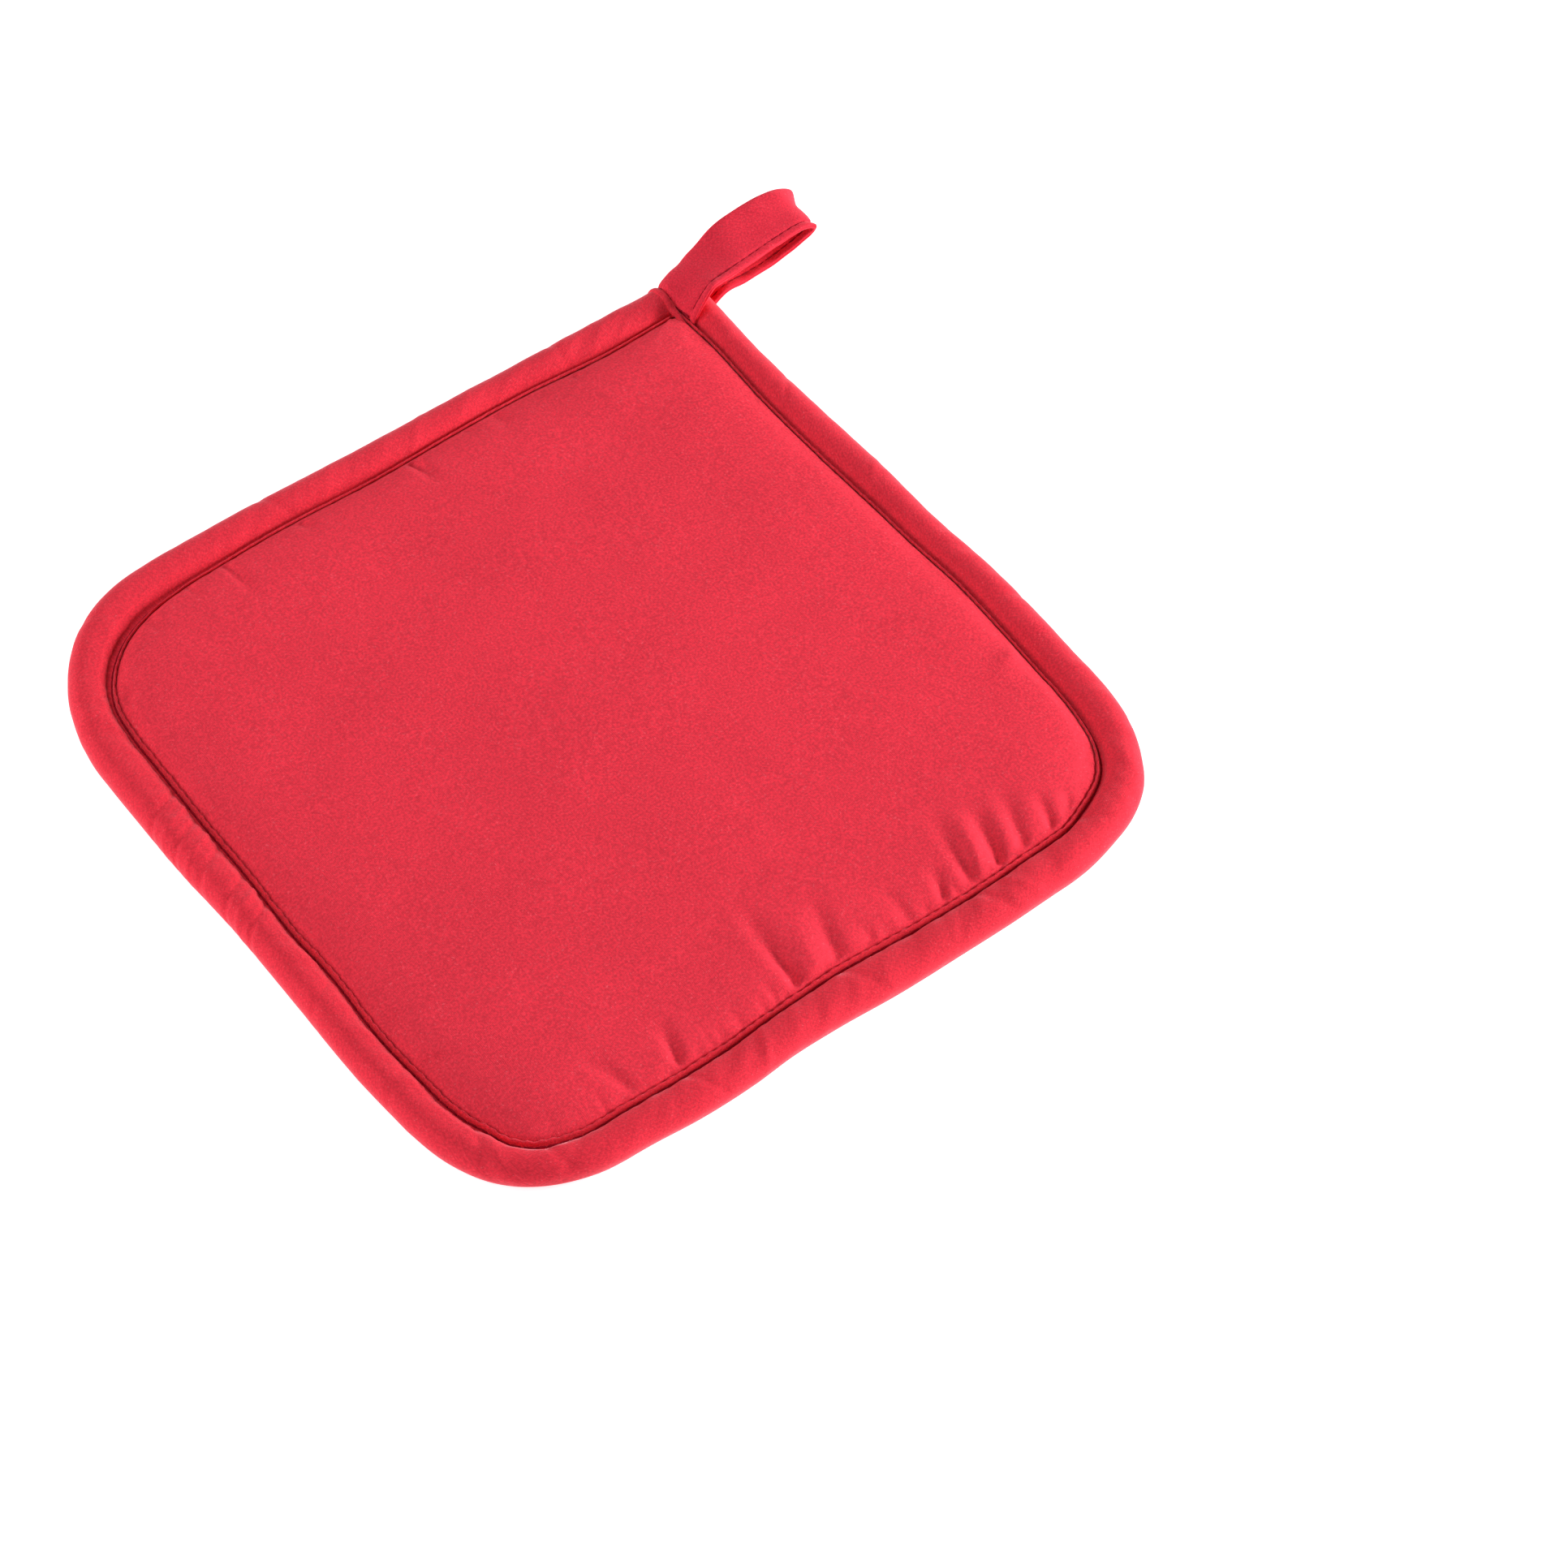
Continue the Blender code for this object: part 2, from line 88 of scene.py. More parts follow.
SEAM = (
    # station, seam moved inwards
    (0.05, -0.1), (0.2, 0.2), (0.32, 0.2), (0.42, 0.6), (0.53, 1.5), (0.72, 0.6),
    (0.85, 0.4),
    (1.0, 0.8), (1.15, 0.3), (1.32, 0.8), (1.55, 0.4), (1.8, 1.4),
    (2.04, 1.2), (2.15, 0.7), (2.25, 0.1), (2.61, 0.4), (2.77, -0.2), (2.89, -0.8),
    (3.0, 0.0), (3.5, 0.5),
    (4.03, 0.6), (4.12, 1.1), (4.31, -0.1), (4.46, 0.3), (4.61, 1.1), (4.8, 1.0),
    (4.93, 1.7),
    (5.05, 2.4), (5.22, 2.8), (5.45, 2.0), (5.6, 1.2), (5.75, 0.9), (5.93, 1.7),
    (6.04, 1.8), (6.21, 1.4), (6.34, 1.1), (6.45, 0.2), (6.53, -0.2), (6.65, 0.4),
    (6.82, -0.2), (6.95, 0.2),
    (7.15, 0.4), (7.33, 0.5), (7.5, -0.9), (7.6, -1.1), (7.75, -0.7), (7.9, -0.4),
)

# ---- sections
# The tape from its lower edge, along the underside, round the roll, down into the
# stitch groove and up to the folded edge on the face.
TAPE_OUTSIDE = (
    # inset, height
    (11.1, 0.6), (10.95, 0.15), (10.6, 0.0), (10.1, 0.0), (9.8, 0.12), (9.5, 0.4),
    (9.2, 0.4), (8.9, 0.12), (8.6, 0.0), (6.5, 0.0), (3.4, 0.0), (1.7, 0.45),
    (0.6, 1.45), (0.1, 2.8), (0.0, 4.05), (0.3, 5.35), (1.2, 6.55), (2.6, 7.45),
    (4.3, 7.8), (6.0, 7.55), (7.3, 7.08), (8.25, 6.45), (8.76, 5.75), (8.94, 5.1),
    (9.14, 4.55), (9.36, 5.05), (9.52, 5.7), (9.74, 6.08), (9.95, 6.1), (10.12, 5.92),
    (10.18, 5.6),
)
TAPE_INSIDE = (
    # inset, height
    (9.95, 5.25), (9.15, 4.32), (6.7, 5.75), (4.3, 6.5), (2.5, 6.15), (1.4, 5.0),
    (1.3, 3.6), (1.9, 1.9), (3.3, 1.15), (10.8, 1.15),
)
FACE_TOP = (
    # inset, height
    (2.3, 4.6), (4.4, 6.0), (6.7, 5.2), (8.5, 4.15), (9.2, 4.15), (9.6, 4.5),
    (10.0, 4.95), (10.3, 5.38), (10.7, 5.9), (11.3, 6.38), (12.2, 6.8), (13.4, 7.26),
    (15.6, 7.95), (19.0, 8.5), (24.0, 8.9), (31.0, 9.15), (42.0, 9.35), (58.0, 9.55),
    (78.0, 9.7), (100.0, 9.75),
)
FACE_BOTTOM = (
    # inset, height
    (2.3, 3.85), (8.0, 3.65), (14.0, 3.5), (22.0, 2.9), (60.0, 2.9),
)
FOAM_BOTTOM = (
    # inset, height
    (2.3, 2.8), (3.6, 1.55), (11.8, 1.5), (13.4, 0.7), (15.0, 0.15), (17.0, 0.0),
    (45.0, 0.0), (100.0, 0.0),
)
FOAM_TOP = 2.6
CROWN_START = 30.0  # inset at which the last rise to the centre starts
CENTRE_CROWN = 0.6  # and that rise

# ---- the face's relief
# Puckers that the sewing draws into the face.
PUCKERS = (
    # x and y at the seam, x and y where it fades out, height, half width
    (-11.8, -88.6, -10.4, -61.0, -0.85, 2.3),
    (-44.6, -88.6, -42.0, -77.0, -0.65, 2.0),
    (-57.0, -88.4, -62.0, -75.0, -0.4, 2.2),
    (-17.5, -88.6, -18.0, -82.0, -0.3, 1.5),
    (-0.6, -88.6, 5.4, -67.0, -0.6, 2.6),
    (9.0, -88.6, 9.6, -83.0, -0.25, 1.5),
    (18.5, -88.6, 19.0, -76.0, -0.25, 2.2),
    (29.0, -88.6, 31.6, -79.5, -0.6, 1.8),
    (36.6, -88.6, 41.0, -66.0, -0.5, 2.2),
    (45.2, -88.6, 49.6, -70.0, -0.95, 2.5),
    (52.2, -88.4, 58.5, -70.0, -0.55, 2.3),
    (61.0, -87.6, 64.0, -77.0, -0.6, 2.0),
    (67.5, -85.8, 71.0, -79.0, -0.3, 2.0),
    (40.6, -86.0, 45.2, -70.0, 0.35, 2.4),
    (-5.8, -86.0, -2.5, -68.0, 0.3, 3.0),
    (9.6, 88.6, 9.8, 75.0, -0.75, 1.7),
    (57.2, 89.6, 57.8, 83.5, -0.5, 1.4),
    (26.2, 89.2, 26.4, 85.5, -0.4, 1.4),
    (34.6, 88.0, 34.4, 78.5, -0.3, 2.2),
    (-22.4, 87.6, -21.6, 79.5, -0.45, 1.8),
    (-43.8, 86.8, -44.2, 69.0, -0.5, 1.7),
    (-54.4, 86.0, -54.8, 79.0, -0.4, 1.5),
    (-66.6, 84.0, -68.6, 73.5, -0.35, 2.0),
    (-88.6, -57.0, -77.0, -61.5, -0.4, 2.0),
    (-83.4, 65.4, -73.0, 69.5, -0.35, 2.2),
    (-88.6, -43.0, -80.0, -44.0, -0.25, 1.8),
    (-88.4, -28.0, -81.0, -28.5, -0.2, 1.8),
    (86.0, -44.0, 74.0, -50.0, 0.35, 3.5),
)
PUCKER_GAIN = 1.45  # on the table's heights
PUCKER_CORE = 0.35  # what its sharp middle adds, as a share
CORE_WIDTH = 0.42  # that middle's share of its width
CORE_SHORTER = 1.3  # and how many times shorter it is
PUCKER_TAPER = 1.6  # how long it stays deep, as a power
PUCKER_LEAD = 0.4  # share of its length under the tape
PUCKER_WIDENS = 0.35  # what its width gains by its end
PUCKER_SHOULDER = 0.6  # how much the cloth stands up beside it

# Small gathers between the puckers, by stretch of the seam.
GATHERS = (
    # first station, last station, depth, length, spacing
    (0.0, 1.0, 0.3, 6.5, 4.4),
    (1.0, 2.0, 0.1, 4.0, 5.5),
    (2.0, 3.0, 0.08, 3.5, 7.0),
    (4.0, 5.0, 0.15, 5.0, 5.2),
    (5.0, 6.0, 0.1, 4.0, 5.5),
    (6.0, 7.0, 0.1, 4.0, 5.5),
    (7.0, 8.0, 0.14, 5.0, 5.0),
)
GATHER_START = 9.6  # inset at which a gather starts
GATHER_FULL = 10.6  # and at which it is deepest
# Least and most: a gather's width, and the shares of its row's length, depth and spacing.
GATHER_WIDTH = (0.8, 1.5)
GATHER_LENGTH = (0.5, 1.5)
GATHER_DEPTH = (0.3, 1.3)
GATHER_SPACING = (0.6, 1.5)
GATHER_SEED = 11
FACE_STATIONS = 1150
FACE_INNER_SHARE = 0.42
# Insets of the face's rings: at the seam one by one, then in runs.
SEAM_RINGS = (2.3, 4.4, 6.7, 8.5, 9.2, 9.6, 10.0, 10.2, 10.4, 10.7, 11.1)
RING_RUNS = (
    # first, end, step
    (11.5, 24.0, 0.44),
    (24.4, 44.0, 1.15),
    (46.0, 99.0, 4.2),
)
FACE_SHOWS = 10.5  # inset where it comes out from under the tape
SHOWS_OVER = 2.4
FACE_SWELL = (0.13, 30.0, 3)
FACE_RIPPLE = (0.05, 12.0, 4)

# ---- the tape's relief
# Creases that run slantwise over the roll, as tape cut on the bias makes them.
BIAS_CREASES = (
    # station, run along the edge from groove to foot, height, half width
    (0.16, 8.0, -0.2, 1.3), (0.34, -7.0, 0.22, 1.5), (0.52, 9.0, -0.17, 1.7),
    (0.82, 9.0, -0.24, 1.8), (0.88, 9.0, 0.18, 1.8), (1.2, 7.0, -0.15, 1.2),
    (1.62, 8.0, -0.18, 1.4), (2.2, -8.0, -0.2, 1.4), (2.48, 8.0, 0.18, 1.6),
    (2.7, 8.0, -0.2, 1.3), (4.22, 8.0, -0.18, 1.2), (4.55, -8.0, 0.18, 1.5),
    (4.78, 9.0, -0.2, 1.3), (5.3, 7.0, -0.15, 1.3), (5.74, 8.0, 0.18, 1.5),
    (6.13, 9.0, -0.4, 1.1), (6.17, 9.0, 0.3, 1.2), (6.21, 9.0, -0.46, 1.0),
    (6.25, 9.0, 0.3, 1.2), (6.29, 9.0, -0.4, 1.1), (6.37, 9.0, -0.46, 1.1),
    (6.41, 9.0, 0.4, 1.3), (6.45, 9.0, -0.46, 1.0), (6.66, 9.0, -0.2, 1.3),
    (6.9, 8.0, -0.2, 1.3), (7.25, 9.0, -0.3, 1.3), (7.34, 9.0, 0.22, 1.5),
    (7.62, 8.0, -0.22, 1.3), (7.86, -8.0, -0.18, 1.4),
)
# How much wider the stitch groove lies open, by station.
GROOVE = (
    # station, width
    (0.15, 0.3), (0.4, 0.2), (0.65, 0.32), (0.85, 0.15),
    (1.2, 0.3), (1.5, 0.42), (1.9, 0.2),
    (2.4, 0.28), (2.7, 0.15),
    (3.5, 0.0),
    (4.25, 0.25), (4.6, 0.4),
    (5.0, 0.6), (5.25, 0.85), (5.55, 0.9), (5.9, 0.65),
    (6.4, 0.5), (6.85, 0.45),
    (7.2, 0.6), (7.45, 0.45), (7.65, 0.6), (7.85, 0.3),
)
SECTION_STEP = 0.625  # most between two points of the tape's section
TAPE_STATIONS = 1230
TAPE_INNER_SHARE = 0.12
LIP = 2.4  # from the folded edge down to the groove
OVER_ROLL = 16.0  # and from there over the roll to its foot
CREASE_SHOULDER = 0.5  # how much the cloth stands up beside a crease
TAPE_WAVES = (
    # wave, slant along the edge, stretch across the tape
    ((0.1, 9.0, 21), 0.9, 0.25),
    ((0.07, 4.6, 22), 0.9, 0.6),
    ((0.1, 24.0, 23), 0.0, 0.5),
)
TOP_LEVEL = 4.0  # parts the top of the section from its underside
NEEDLE_INSET = 9.1
NEEDLE_WIDE = 0.4
NEEDLE_DEEP = 0.12
LIP_INSET = 9.4
LIP_LIFT = 0.13
LIP_SWAY = 0.18
LIP_WAVE = (0.5, 5.0, 24)
GROOVE_WALL = 6.4  # inset at which the roll starts to fall to the groove
GROOVE_BOTTOM = 9.13
FOOT_INSET = 10.3
FOOT_WAVE = (0.18, 6.0, 25)
INSIDE_STEP = 2.5  # stands for the steps across the tape's hidden inside
# The folded edge of the right side's tape runs straight on over the far roll, beside
# the loop's root.
WELT_X = 90.0
WELT = (
    # y, height, half width, half thickness
    (83.5, 5.6, 0.1, 0.15), (85.5, 5.75, 0.36, 0.4), (87.5, 5.95, 0.5, 0.55),
    (89.2, 6.1, 0.8, 0.7), (91.0, 6.3, 0.92, 0.75), (92.6, 6.95, 0.95, 0.75),
    (94.4, 7.45, 0.95, 0.75), (95.9, 7.55, 0.95, 0.75), (97.6, 7.1, 0.95, 0.7),
    (99.0, 6.1, 0.95, 0.65), (99.65, 5.05, 0.92, 0.6), (99.95, 3.9, 0.85, 0.5),
    (99.65, 2.6, 0.8, 0.45), (98.8, 1.25, 0.75, 0.45), (97.6, 0.55, 0.65, 0.4),
    (96.0, 0.55, 0.4, 0.25),
)
WELT_ROWS = 64
WELT_SIDES = 20
WELT_WAVE = (0.14, 7.0, 41)
WELT_SHIFT = 0.25  # how far its wide part lies to the right
WELT_SQUARE = 0.7  # how round its section is, as a power: 1 is an ellipse
WELT_ROUND = 6.0  # its way round, for the weave
# Height of the far roll under the stitches that hold the loop's root.
CROSSING_LINE = (
    # inset, height
    (0.3, 6.6), (1.2, 7.3), (2.6, 8.2), (4.3, 8.6), (6.0, 8.2), (7.4, 7.5), (8.6, 6.6),
    (10.0, 7.2), (14.0, 7.4),
)

# ---- the loop
LOOP = (
    # x near, y near, z near, x far, y far, z far, bow half, bow far
    (92.2, 84.1, 6.4, 91.9, 98.7, 6.4, 0.6, 1.6),
    (92.9, 84.4, 8.2, 92.6, 99.1, 7.65, 0.6, 1.5),
    (96.2, 85.2, 11.4, 96.2, 100.2, 8.65, 0.3, 0.95),
    (99.2, 86.1, 13.0, 99.6, 100.9, 8.8, 0.2, 0.6),
    (102.4, 86.8, 12.8, 102.8, 101.7, 9.8, 0.2, 0.2),
    (106.5, 87.4, 12.45, 106.2, 102.3, 11.4, 0.2, 0.1),
    (110.5, 87.8, 12.3, 110.4, 102.9, 13.3, 0.1, 0.0),
    (115.0, 88.3, 12.35, 115.6, 103.4, 14.4, 0.0, 0.0),
    (120.0, 88.7, 12.75, 121.0, 103.7, 14.65, -0.1, 0.0),
    (125.0, 89.0, 13.15, 126.2, 103.9, 14.65, -0.2, 0.0),
    (129.6, 89.3, 13.15, 130.8, 104.0, 14.1, -0.2, 0.1),
    (132.4, 89.4, 12.5, 134.9, 104.1, 12.1, -0.1, 0.1),
    (133.9, 89.5, 11.2, 137.0, 104.2, 10.0, 0.0, 0.0),
    (132.8, 89.6, 9.8, 135.6, 104.4, 8.2, 0.0, 0.0),
    (129.6, 89.6, 8.65, 131.8, 104.7, 7.1, 0.0, 0.0),
    (124.5, 89.6, 7.0, 126.4, 104.8, 5.85, 0.0, 0.0),
    (118.5, 89.5, 5.7, 120.0, 104.8, 5.05, 0.0, 0.0),
    (112.8, 89.2, 5.65, 113.6, 104.3, 5.05, 0.0, 0.0),
    (108.0, 88.9, 6.15, 108.3, 103.4, 5.45, 0.0, 0.0),
    (105.0, 88.6, 6.1, 105.1, 102.5, 5.45, 0.0, 0.0),
    (103.0, 88.4, 5.4, 103.0, 101.8, 4.9, 0.0, 0.0),
    (101.5, 88.2, 4.7, 101.25, 101.1, 4.45, 0.0, 0.0),
    (99.7, 88.1, 4.2, 99.3, 99.6, 4.2, 0.0, 0.0),
)
TIP_CRUMPLE = (
    # share of the way across, fall back
    (0.0, 0.0), (0.12, 1.4), (0.22, 0.8), (0.4, 1.1), (0.6, 1.7), (0.79, 1.0),
    (1.0, 0.0),
)
TIP_ROW = 12
TIP_REACH = 1.6  # how many rows its crumple takes in
LOOP_WIDTH = 15.0
# Section of the loop from the open edges of the folded tape, over the top to the fold
# and back underneath, with a line of stitches pressed in.
LOOP_SECTION = (
    # across, off the middle
    (1.1, 0.04), (0.2, 0.1), (0.0, 0.3), (0.12, 0.54), (0.5, 0.66), (1.1, 0.66),
    (1.55, 0.62), (1.95, 0.46), (2.35, 0.62), (2.9, 0.66), (4.1, 0.65), (5.4, 0.65),
    (6.8, 0.65), (8.2, 0.65), (9.6, 0.65), (11.0, 0.65), (12.3, 0.65), (13.4, 0.65),
    (14.2, 0.62), (14.7, 0.5), (14.94, 0.27), (15.0, 0.0),
)
LOOP_ROWS = 231
LOOP_STITCH = 2.6  # from one needle hole to the next
LOOP_SEWN_AT = 1.95  # distance of the stitches from the open edges
LOOP_SEWN_WIDE = 0.4
LOOP_SEWN_DEEP = 0.16
LOOP_MEASURED_AT = 5.4  # distance of the line along which its length is measured
LOOP_SWAY = (0.16, 13.0, 31)
LOOP_RIPPLE = (0.07, 5.0, 32)
ROOT_FADE = 6.0  # length over which the waves start at the upper end
END_FADE = 10.0  # and stop at the lower end

# ---- the sewing
STITCH_SHARES = (0.0, 0.1, 0.28, 0.5, 0.72, 0.9, 1.0)  # rings of a stitch's tube
STITCH_SIDES = 8
STITCH_RADIUS = 0.27
STITCH_LIFT = 0.12
SEWN_LINES = (
    # inset, height, and 1 for the top or -1 for the underside
    (9.14, 4.7, 1.0),
    (9.35, 0.36, -1.0),
)
STITCH_GAP = 0.02  # share of a stitch that each of its ends leaves free
LOOP_STITCH_GAP = 0.03
LOOP_STITCH_RADIUS = 0.17
LOOP_STITCH_LIFT = 0.08
LOOP_STITCH_OFF = 0.4  # from the middle of the folded tape
LOOP_STITCH_ROWS = 400
CROSSING_X = 91.55
CROSSING_Y = 86.0  # where the stitches across the loop's root start
CROSSING_STITCHES = 5
CROSSING_GAP = 0.15

# ---- the foam's pattern
COLUMN = 2.1  # from one column of slots to the next
ROW = 4.16  # from one slot to the next in a column
SLOT_LINES = (-0.34, -0.2, 0.2, 0.34, 1.05)  # across a column
SLOT_ENDS = (0.96, 1.12, 3.04, 3.2)  # along a column, within one row
SLOT_DEEP = 0.55
RIM = 0.06  # depth of the field round the slots, below the ridges
COLUMNS_EACH_WAY = 46
ROWS_EACH_WAY = 24
SLOT_HALF_WIDTH = 0.21
SLOT_HALF_LENGTH = 1.0
RIDGE_FROM = 1.0  # across a column, where the ridge between two columns starts
FOAM_INSET = 11.1  # where the foam comes out from under the tape
FOAM_UNDER_TAPE = 1.8  # how far its pattern runs on under it
OUTLINE_POINTS = 600
SHARP_ANGLE = 35.0  # from which an edge of a slot stays sharp

# ---- cloth, room and camera
YARN = 0.36  # from one yarn to the next
BIAS_ANGLE = 45.0  # of the yarns to the tape's edge
# From here on lengths are in metres.
FLOOR_HALF = 60.0
FLOOR_DROP = 0.0003
FLOOR_GLOW = 0.75
WORLD_GLOW = 0.07
LIGHT_AWAY = 1.4
LIGHTS = (
    # name, azimuth, elevation, size, power
    ("light_right", 332.0, 14.0, 0.5, 30.0),
    ("light_behind", 90.0, 50.0, 0.7, 5.4),
    ("light_left", 175.0, 50.0, 0.7, 4.6),
    ("light_low_left", 150.0, 12.0, 0.6, 8.5),
    ("light_front", 225.0, 20.0, 0.7, 2.5),
)
LENS = 100.0  # millimetres, as is the sensor
SENSOR = 36.0
CAMERA_PLACE = (-0.3788, -0.50614, 0.76716)
CAMERA_TURN = (38.767, -2.049, -38.161)  # degrees about x, y and z


def ease(t):
    """0 below 0, 1 above 1, and smooth between."""
    t = np.clip(t, 0.0, 1.0)
    return t * t * (3.0 - 2.0 * t)


def curve(table, x):
    """A table read as a smooth curve that doesn't overshoot its rows."""
    rows = np.array(table, float)
    xs = rows[:, 0]
    ys = rows[:, 1]
    gap = np.diff(xs)
    rise = np.diff(ys) / gap
    product = rise[:-1] * rise[1:]
    total = np.where(product > 0.0, rise[:-1] + rise[1:], 1.0)
    slope = np.empty(len(xs))
    slope[1:-1] = np.where(product > 0.0, 2.0 * product / total, 0.0)
    slope[0] = rise[0]
    slope[-1] = rise[-1]
    i = np.clip(np.searchsorted(xs, x, side="right") - 1, 0, len(gap) - 1)
    u = np.clip((x - xs[i]) / gap[i], 0.0, 1.0)
    return (
        (1.0 + 2.0 * u) * (1.0 - u) ** 2 * ys[i]
        + u * (1.0 - u) ** 2 * gap[i] * slope[i]
        + u * u * (3.0 - 2.0 * u) * ys[i + 1]
        + u * u * (u - 1.0) * gap[i] * slope[i + 1]
    )


def uneven(table, station):
    """A table of unevenness read smoothly between its rows, all the way round."""
    rows = np.array(table)
    before = rows[-2:] - (STATIONS, 0.0)
    after = rows[:2] + (STATIONS, 0.0)
    xs, ys = np.concatenate((before, rows, after)).T
    slope = np.gradient(ys, xs)
    i = np.clip(np.searchsorted(xs, station), 2, len(xs) - 2)
    gap = xs[i] - xs[i - 1]
    u = (station - xs[i - 1]) / gap
    level = ys[i - 1] + (ys[i] - ys[i - 1]) * ease(u)
    bend = (1.0 - u) * slope[i - 1] - u * slope[i]
    return level + bend * gap * u * (1.0 - u)


def waves(kind, x, y):
    """Smooth unevenness of this kind."""
    height, length, seed = kind
    random = np.random.RandomState(seed)
    total = 0.0
    for _ in range(WAVE_PARTS):
        turn = random.uniform(0.0, math.pi)
        step = math.tau / (length * random.uniform(*WAVE_LENGTHS))
        phase = random.uniform(0.0, math.tau)
        across = x * math.cos(turn) + y * math.sin(turn)
        total = total + np.sin(across * step + phase)
    return height * (total / WAVE_PEAK)


def corner_radius(full, inset):
    """Radius of a corner on the ring at this inset: inner rings are rounder."""
    inner = LEAST_RADIUS + ROUNDING * np.maximum(inset - TAPE_SHOWN, 0.0)
    inner = np.minimum(inner, MOST_ROUND * (HALF - inset))
    return np.maximum(full - inset, inner)


def outline(inset, station):
    """x and y of the outline moved inwards by inset, at these stations."""
    inset, station = np.broadcast_arrays(np.asarray(inset, float), station)
    number = np.floor(station).astype(int) % STATIONS
    share = station - np.floor(station)
    turn = np.radians(45.0 * (number - number % 2))
    c = np.cos(turn)
    s = np.sin(turn)
    out = HALF - inset
    start = -out + corner_radius(CORNERS[(number - 1) % STATIONS], inset)
    end = out - corner_radius(CORNERS[(number + 1) % STATIONS], inset)
    along = start + (end - start) * share
    radius = corner_radius(CORNERS[number], inset)
    centre = out - radius
    angle = np.radians(-90.0 + 90.0 * share) + turn
    corner = number % 2 == 1
    out_x = np.where(corner, np.cos(angle), s)
    out_y = np.where(corner, np.sin(angle), -c)
    x = np.where(corner, centre * (c + s) + radius * out_x, along * c + out * s)
    y = np.where(corner, centre * (s - c) + radius * out_y, along * s - out * c)
    moved = uneven(EDGE, station) * ease(1.0 - inset / EDGE_FADE)
    at_seam = ease(1.0 - np.abs(inset - SEAM_INSET) / SEAM_REACH)
    moved = moved - uneven(SEAM, station) * at_seam
    return x + out_x * moved, y + out_y * moved


def run_along(points):
    """Length along a line of points up to each of them."""
    steps = np.linalg.norm(np.diff(points, axis=0), axis=1)
    return np.concatenate(([0.0], np.cumsum(steps)))


def length_along(inset, stations):
    """Length of the outline at this inset up to each station."""
    return run_along(np.stack(outline(inset, stations), axis=1))


ALL_ROUND = np.linspace(0.0, STATIONS, ROUND_STEPS + 1)
SEAM_LENGTH = length_along(GROOVE_INSET, ALL_ROUND)
STITCHES = round(SEAM_LENGTH[-1] / STITCH)
PITCH = SEAM_LENGTH[-1] / STITCHES


def spread(count, inner_share):
    """Stations spaced evenly along the seam and, for this share, along an inner ring."""
    inner = length_along(INNER_RING, ALL_ROUND)
    mixed = SEAM_LENGTH / SEAM_LENGTH[-1] * (1.0 - inner_share)
    mixed = mixed + inner / inner[-1] * inner_share
    return np.interp(np.arange(count) / count, mixed, ALL_ROUND)


def seam_place(station):
    return np.interp(station, ALL_ROUND, SEAM_LENGTH)


def thicken(x, y, z):
    """A height once the layers at the loop's corner have made it thicker there."""
    reach = np.hypot(x - HALF, y - HALF)
    rise = CORNER_RISE * (1.0 - ease((reach - RISE_FLAT) / RISE_FADE))
    return z * (1.0 + rise / FULL_HEIGHT)


def rings_at(insets, heights, stations):
    """Points at these insets and stations, one ring after another."""
    x, y = outline(insets, stations[None, :])
    return np.stack((x, y, thicken(x, y, heights + np.zeros_like(x))), axis=2)


def needle_holes(place, pitch):
    """1 at every needle hole and 0 halfway to the next."""
    return 0.5 + 0.5 * np.cos(math.tau * place / pitch)


def puckers(x, y):
    """Height of the puckers in the face."""
    total = np.zeros_like(x)
    for x0, y0, x1, y1, height, half_width in PUCKERS:
        ax = x1 - x0
        ay = y1 - y0
        length = math.hypot(ax, ay)
        along = ((x - x0) * ax + (y - y0) * ay) / (length * length)
        across = ((x - x0) * ay - (y - y0) * ax) / length
        start = ease((along + PUCKER_LEAD) / PUCKER_LEAD)
        taper = (1.0 - ease(along) ** PUCKER_TAPER) * start
        widened = half_width * (1.0 + PUCKER_WIDENS * np.clip(along, 0.0, 1.0))
        share = across / widened
        soft = (1.0 - PUCKER_SHOULDER * share * share) * np.exp(-share * share)
        core = np.exp(-((share / CORE_WIDTH) ** 2)) * PUCKER_CORE
        core = core * ease(1.0 - along * CORE_SHORTER)
        total += height * taper * (soft + core)
    return total * PUCKER_GAIN


def gathers(seam_at, inset):
    """Short creases between the puckers: rows are rings, columns are stations."""
    random = np.random.RandomState(GATHER_SEED)
    total = np.zeros((len(inset), len(seam_at)))
    for first, last, depth, reach, spacing in GATHERS:
        place = seam_place(first) + random.uniform(1.0, spacing)
        while place < seam_place(last):
            width = random.uniform(*GATHER_WIDTH)
            long = reach * random.uniform(*GATHER_LENGTH)
            slot_shade = depth * random.uniform(*GATHER_DEPTH)
            across = np.exp(-(((seam_at - place) / width) ** 2))
            along = ease(1.0 - (inset - GATHER_FULL) / long)
            along = along * ease((inset - GATHER_START) / (GATHER_FULL - GATHER_START))
            total -= slot_shade * along[:, None] * across[None, :]
            place += spacing * random.uniform(*GATHER_SPACING)
    return total


# ---- making pieces
def add_object(name, data):
    """An object in the scene."""
    made = bpy.data.objects.new(name, data)
    bpy.context.scene.collection.objects.link(made)
    return made


def piece(name, points, faces, material, corner_uv=None):
    """A mesh object from points in millimetres."""
    listed = [corners for part in faces for corners in part.tolist()]
    data = bpy.data.meshes.new(name)
    data.from_pydata((np.array(points) * MM).tolist(), [], listed)
    if corner_uv is not None:
        layer = data.uv_layers.new(name="tape")
        layer.data.foreach_set("uv", corner_uv.reshape(-1).astype(np.float32))
    data.materials.append(material)
    data.shade_smooth()
    made = add_object(name, data)
    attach(made, "root")
    return made


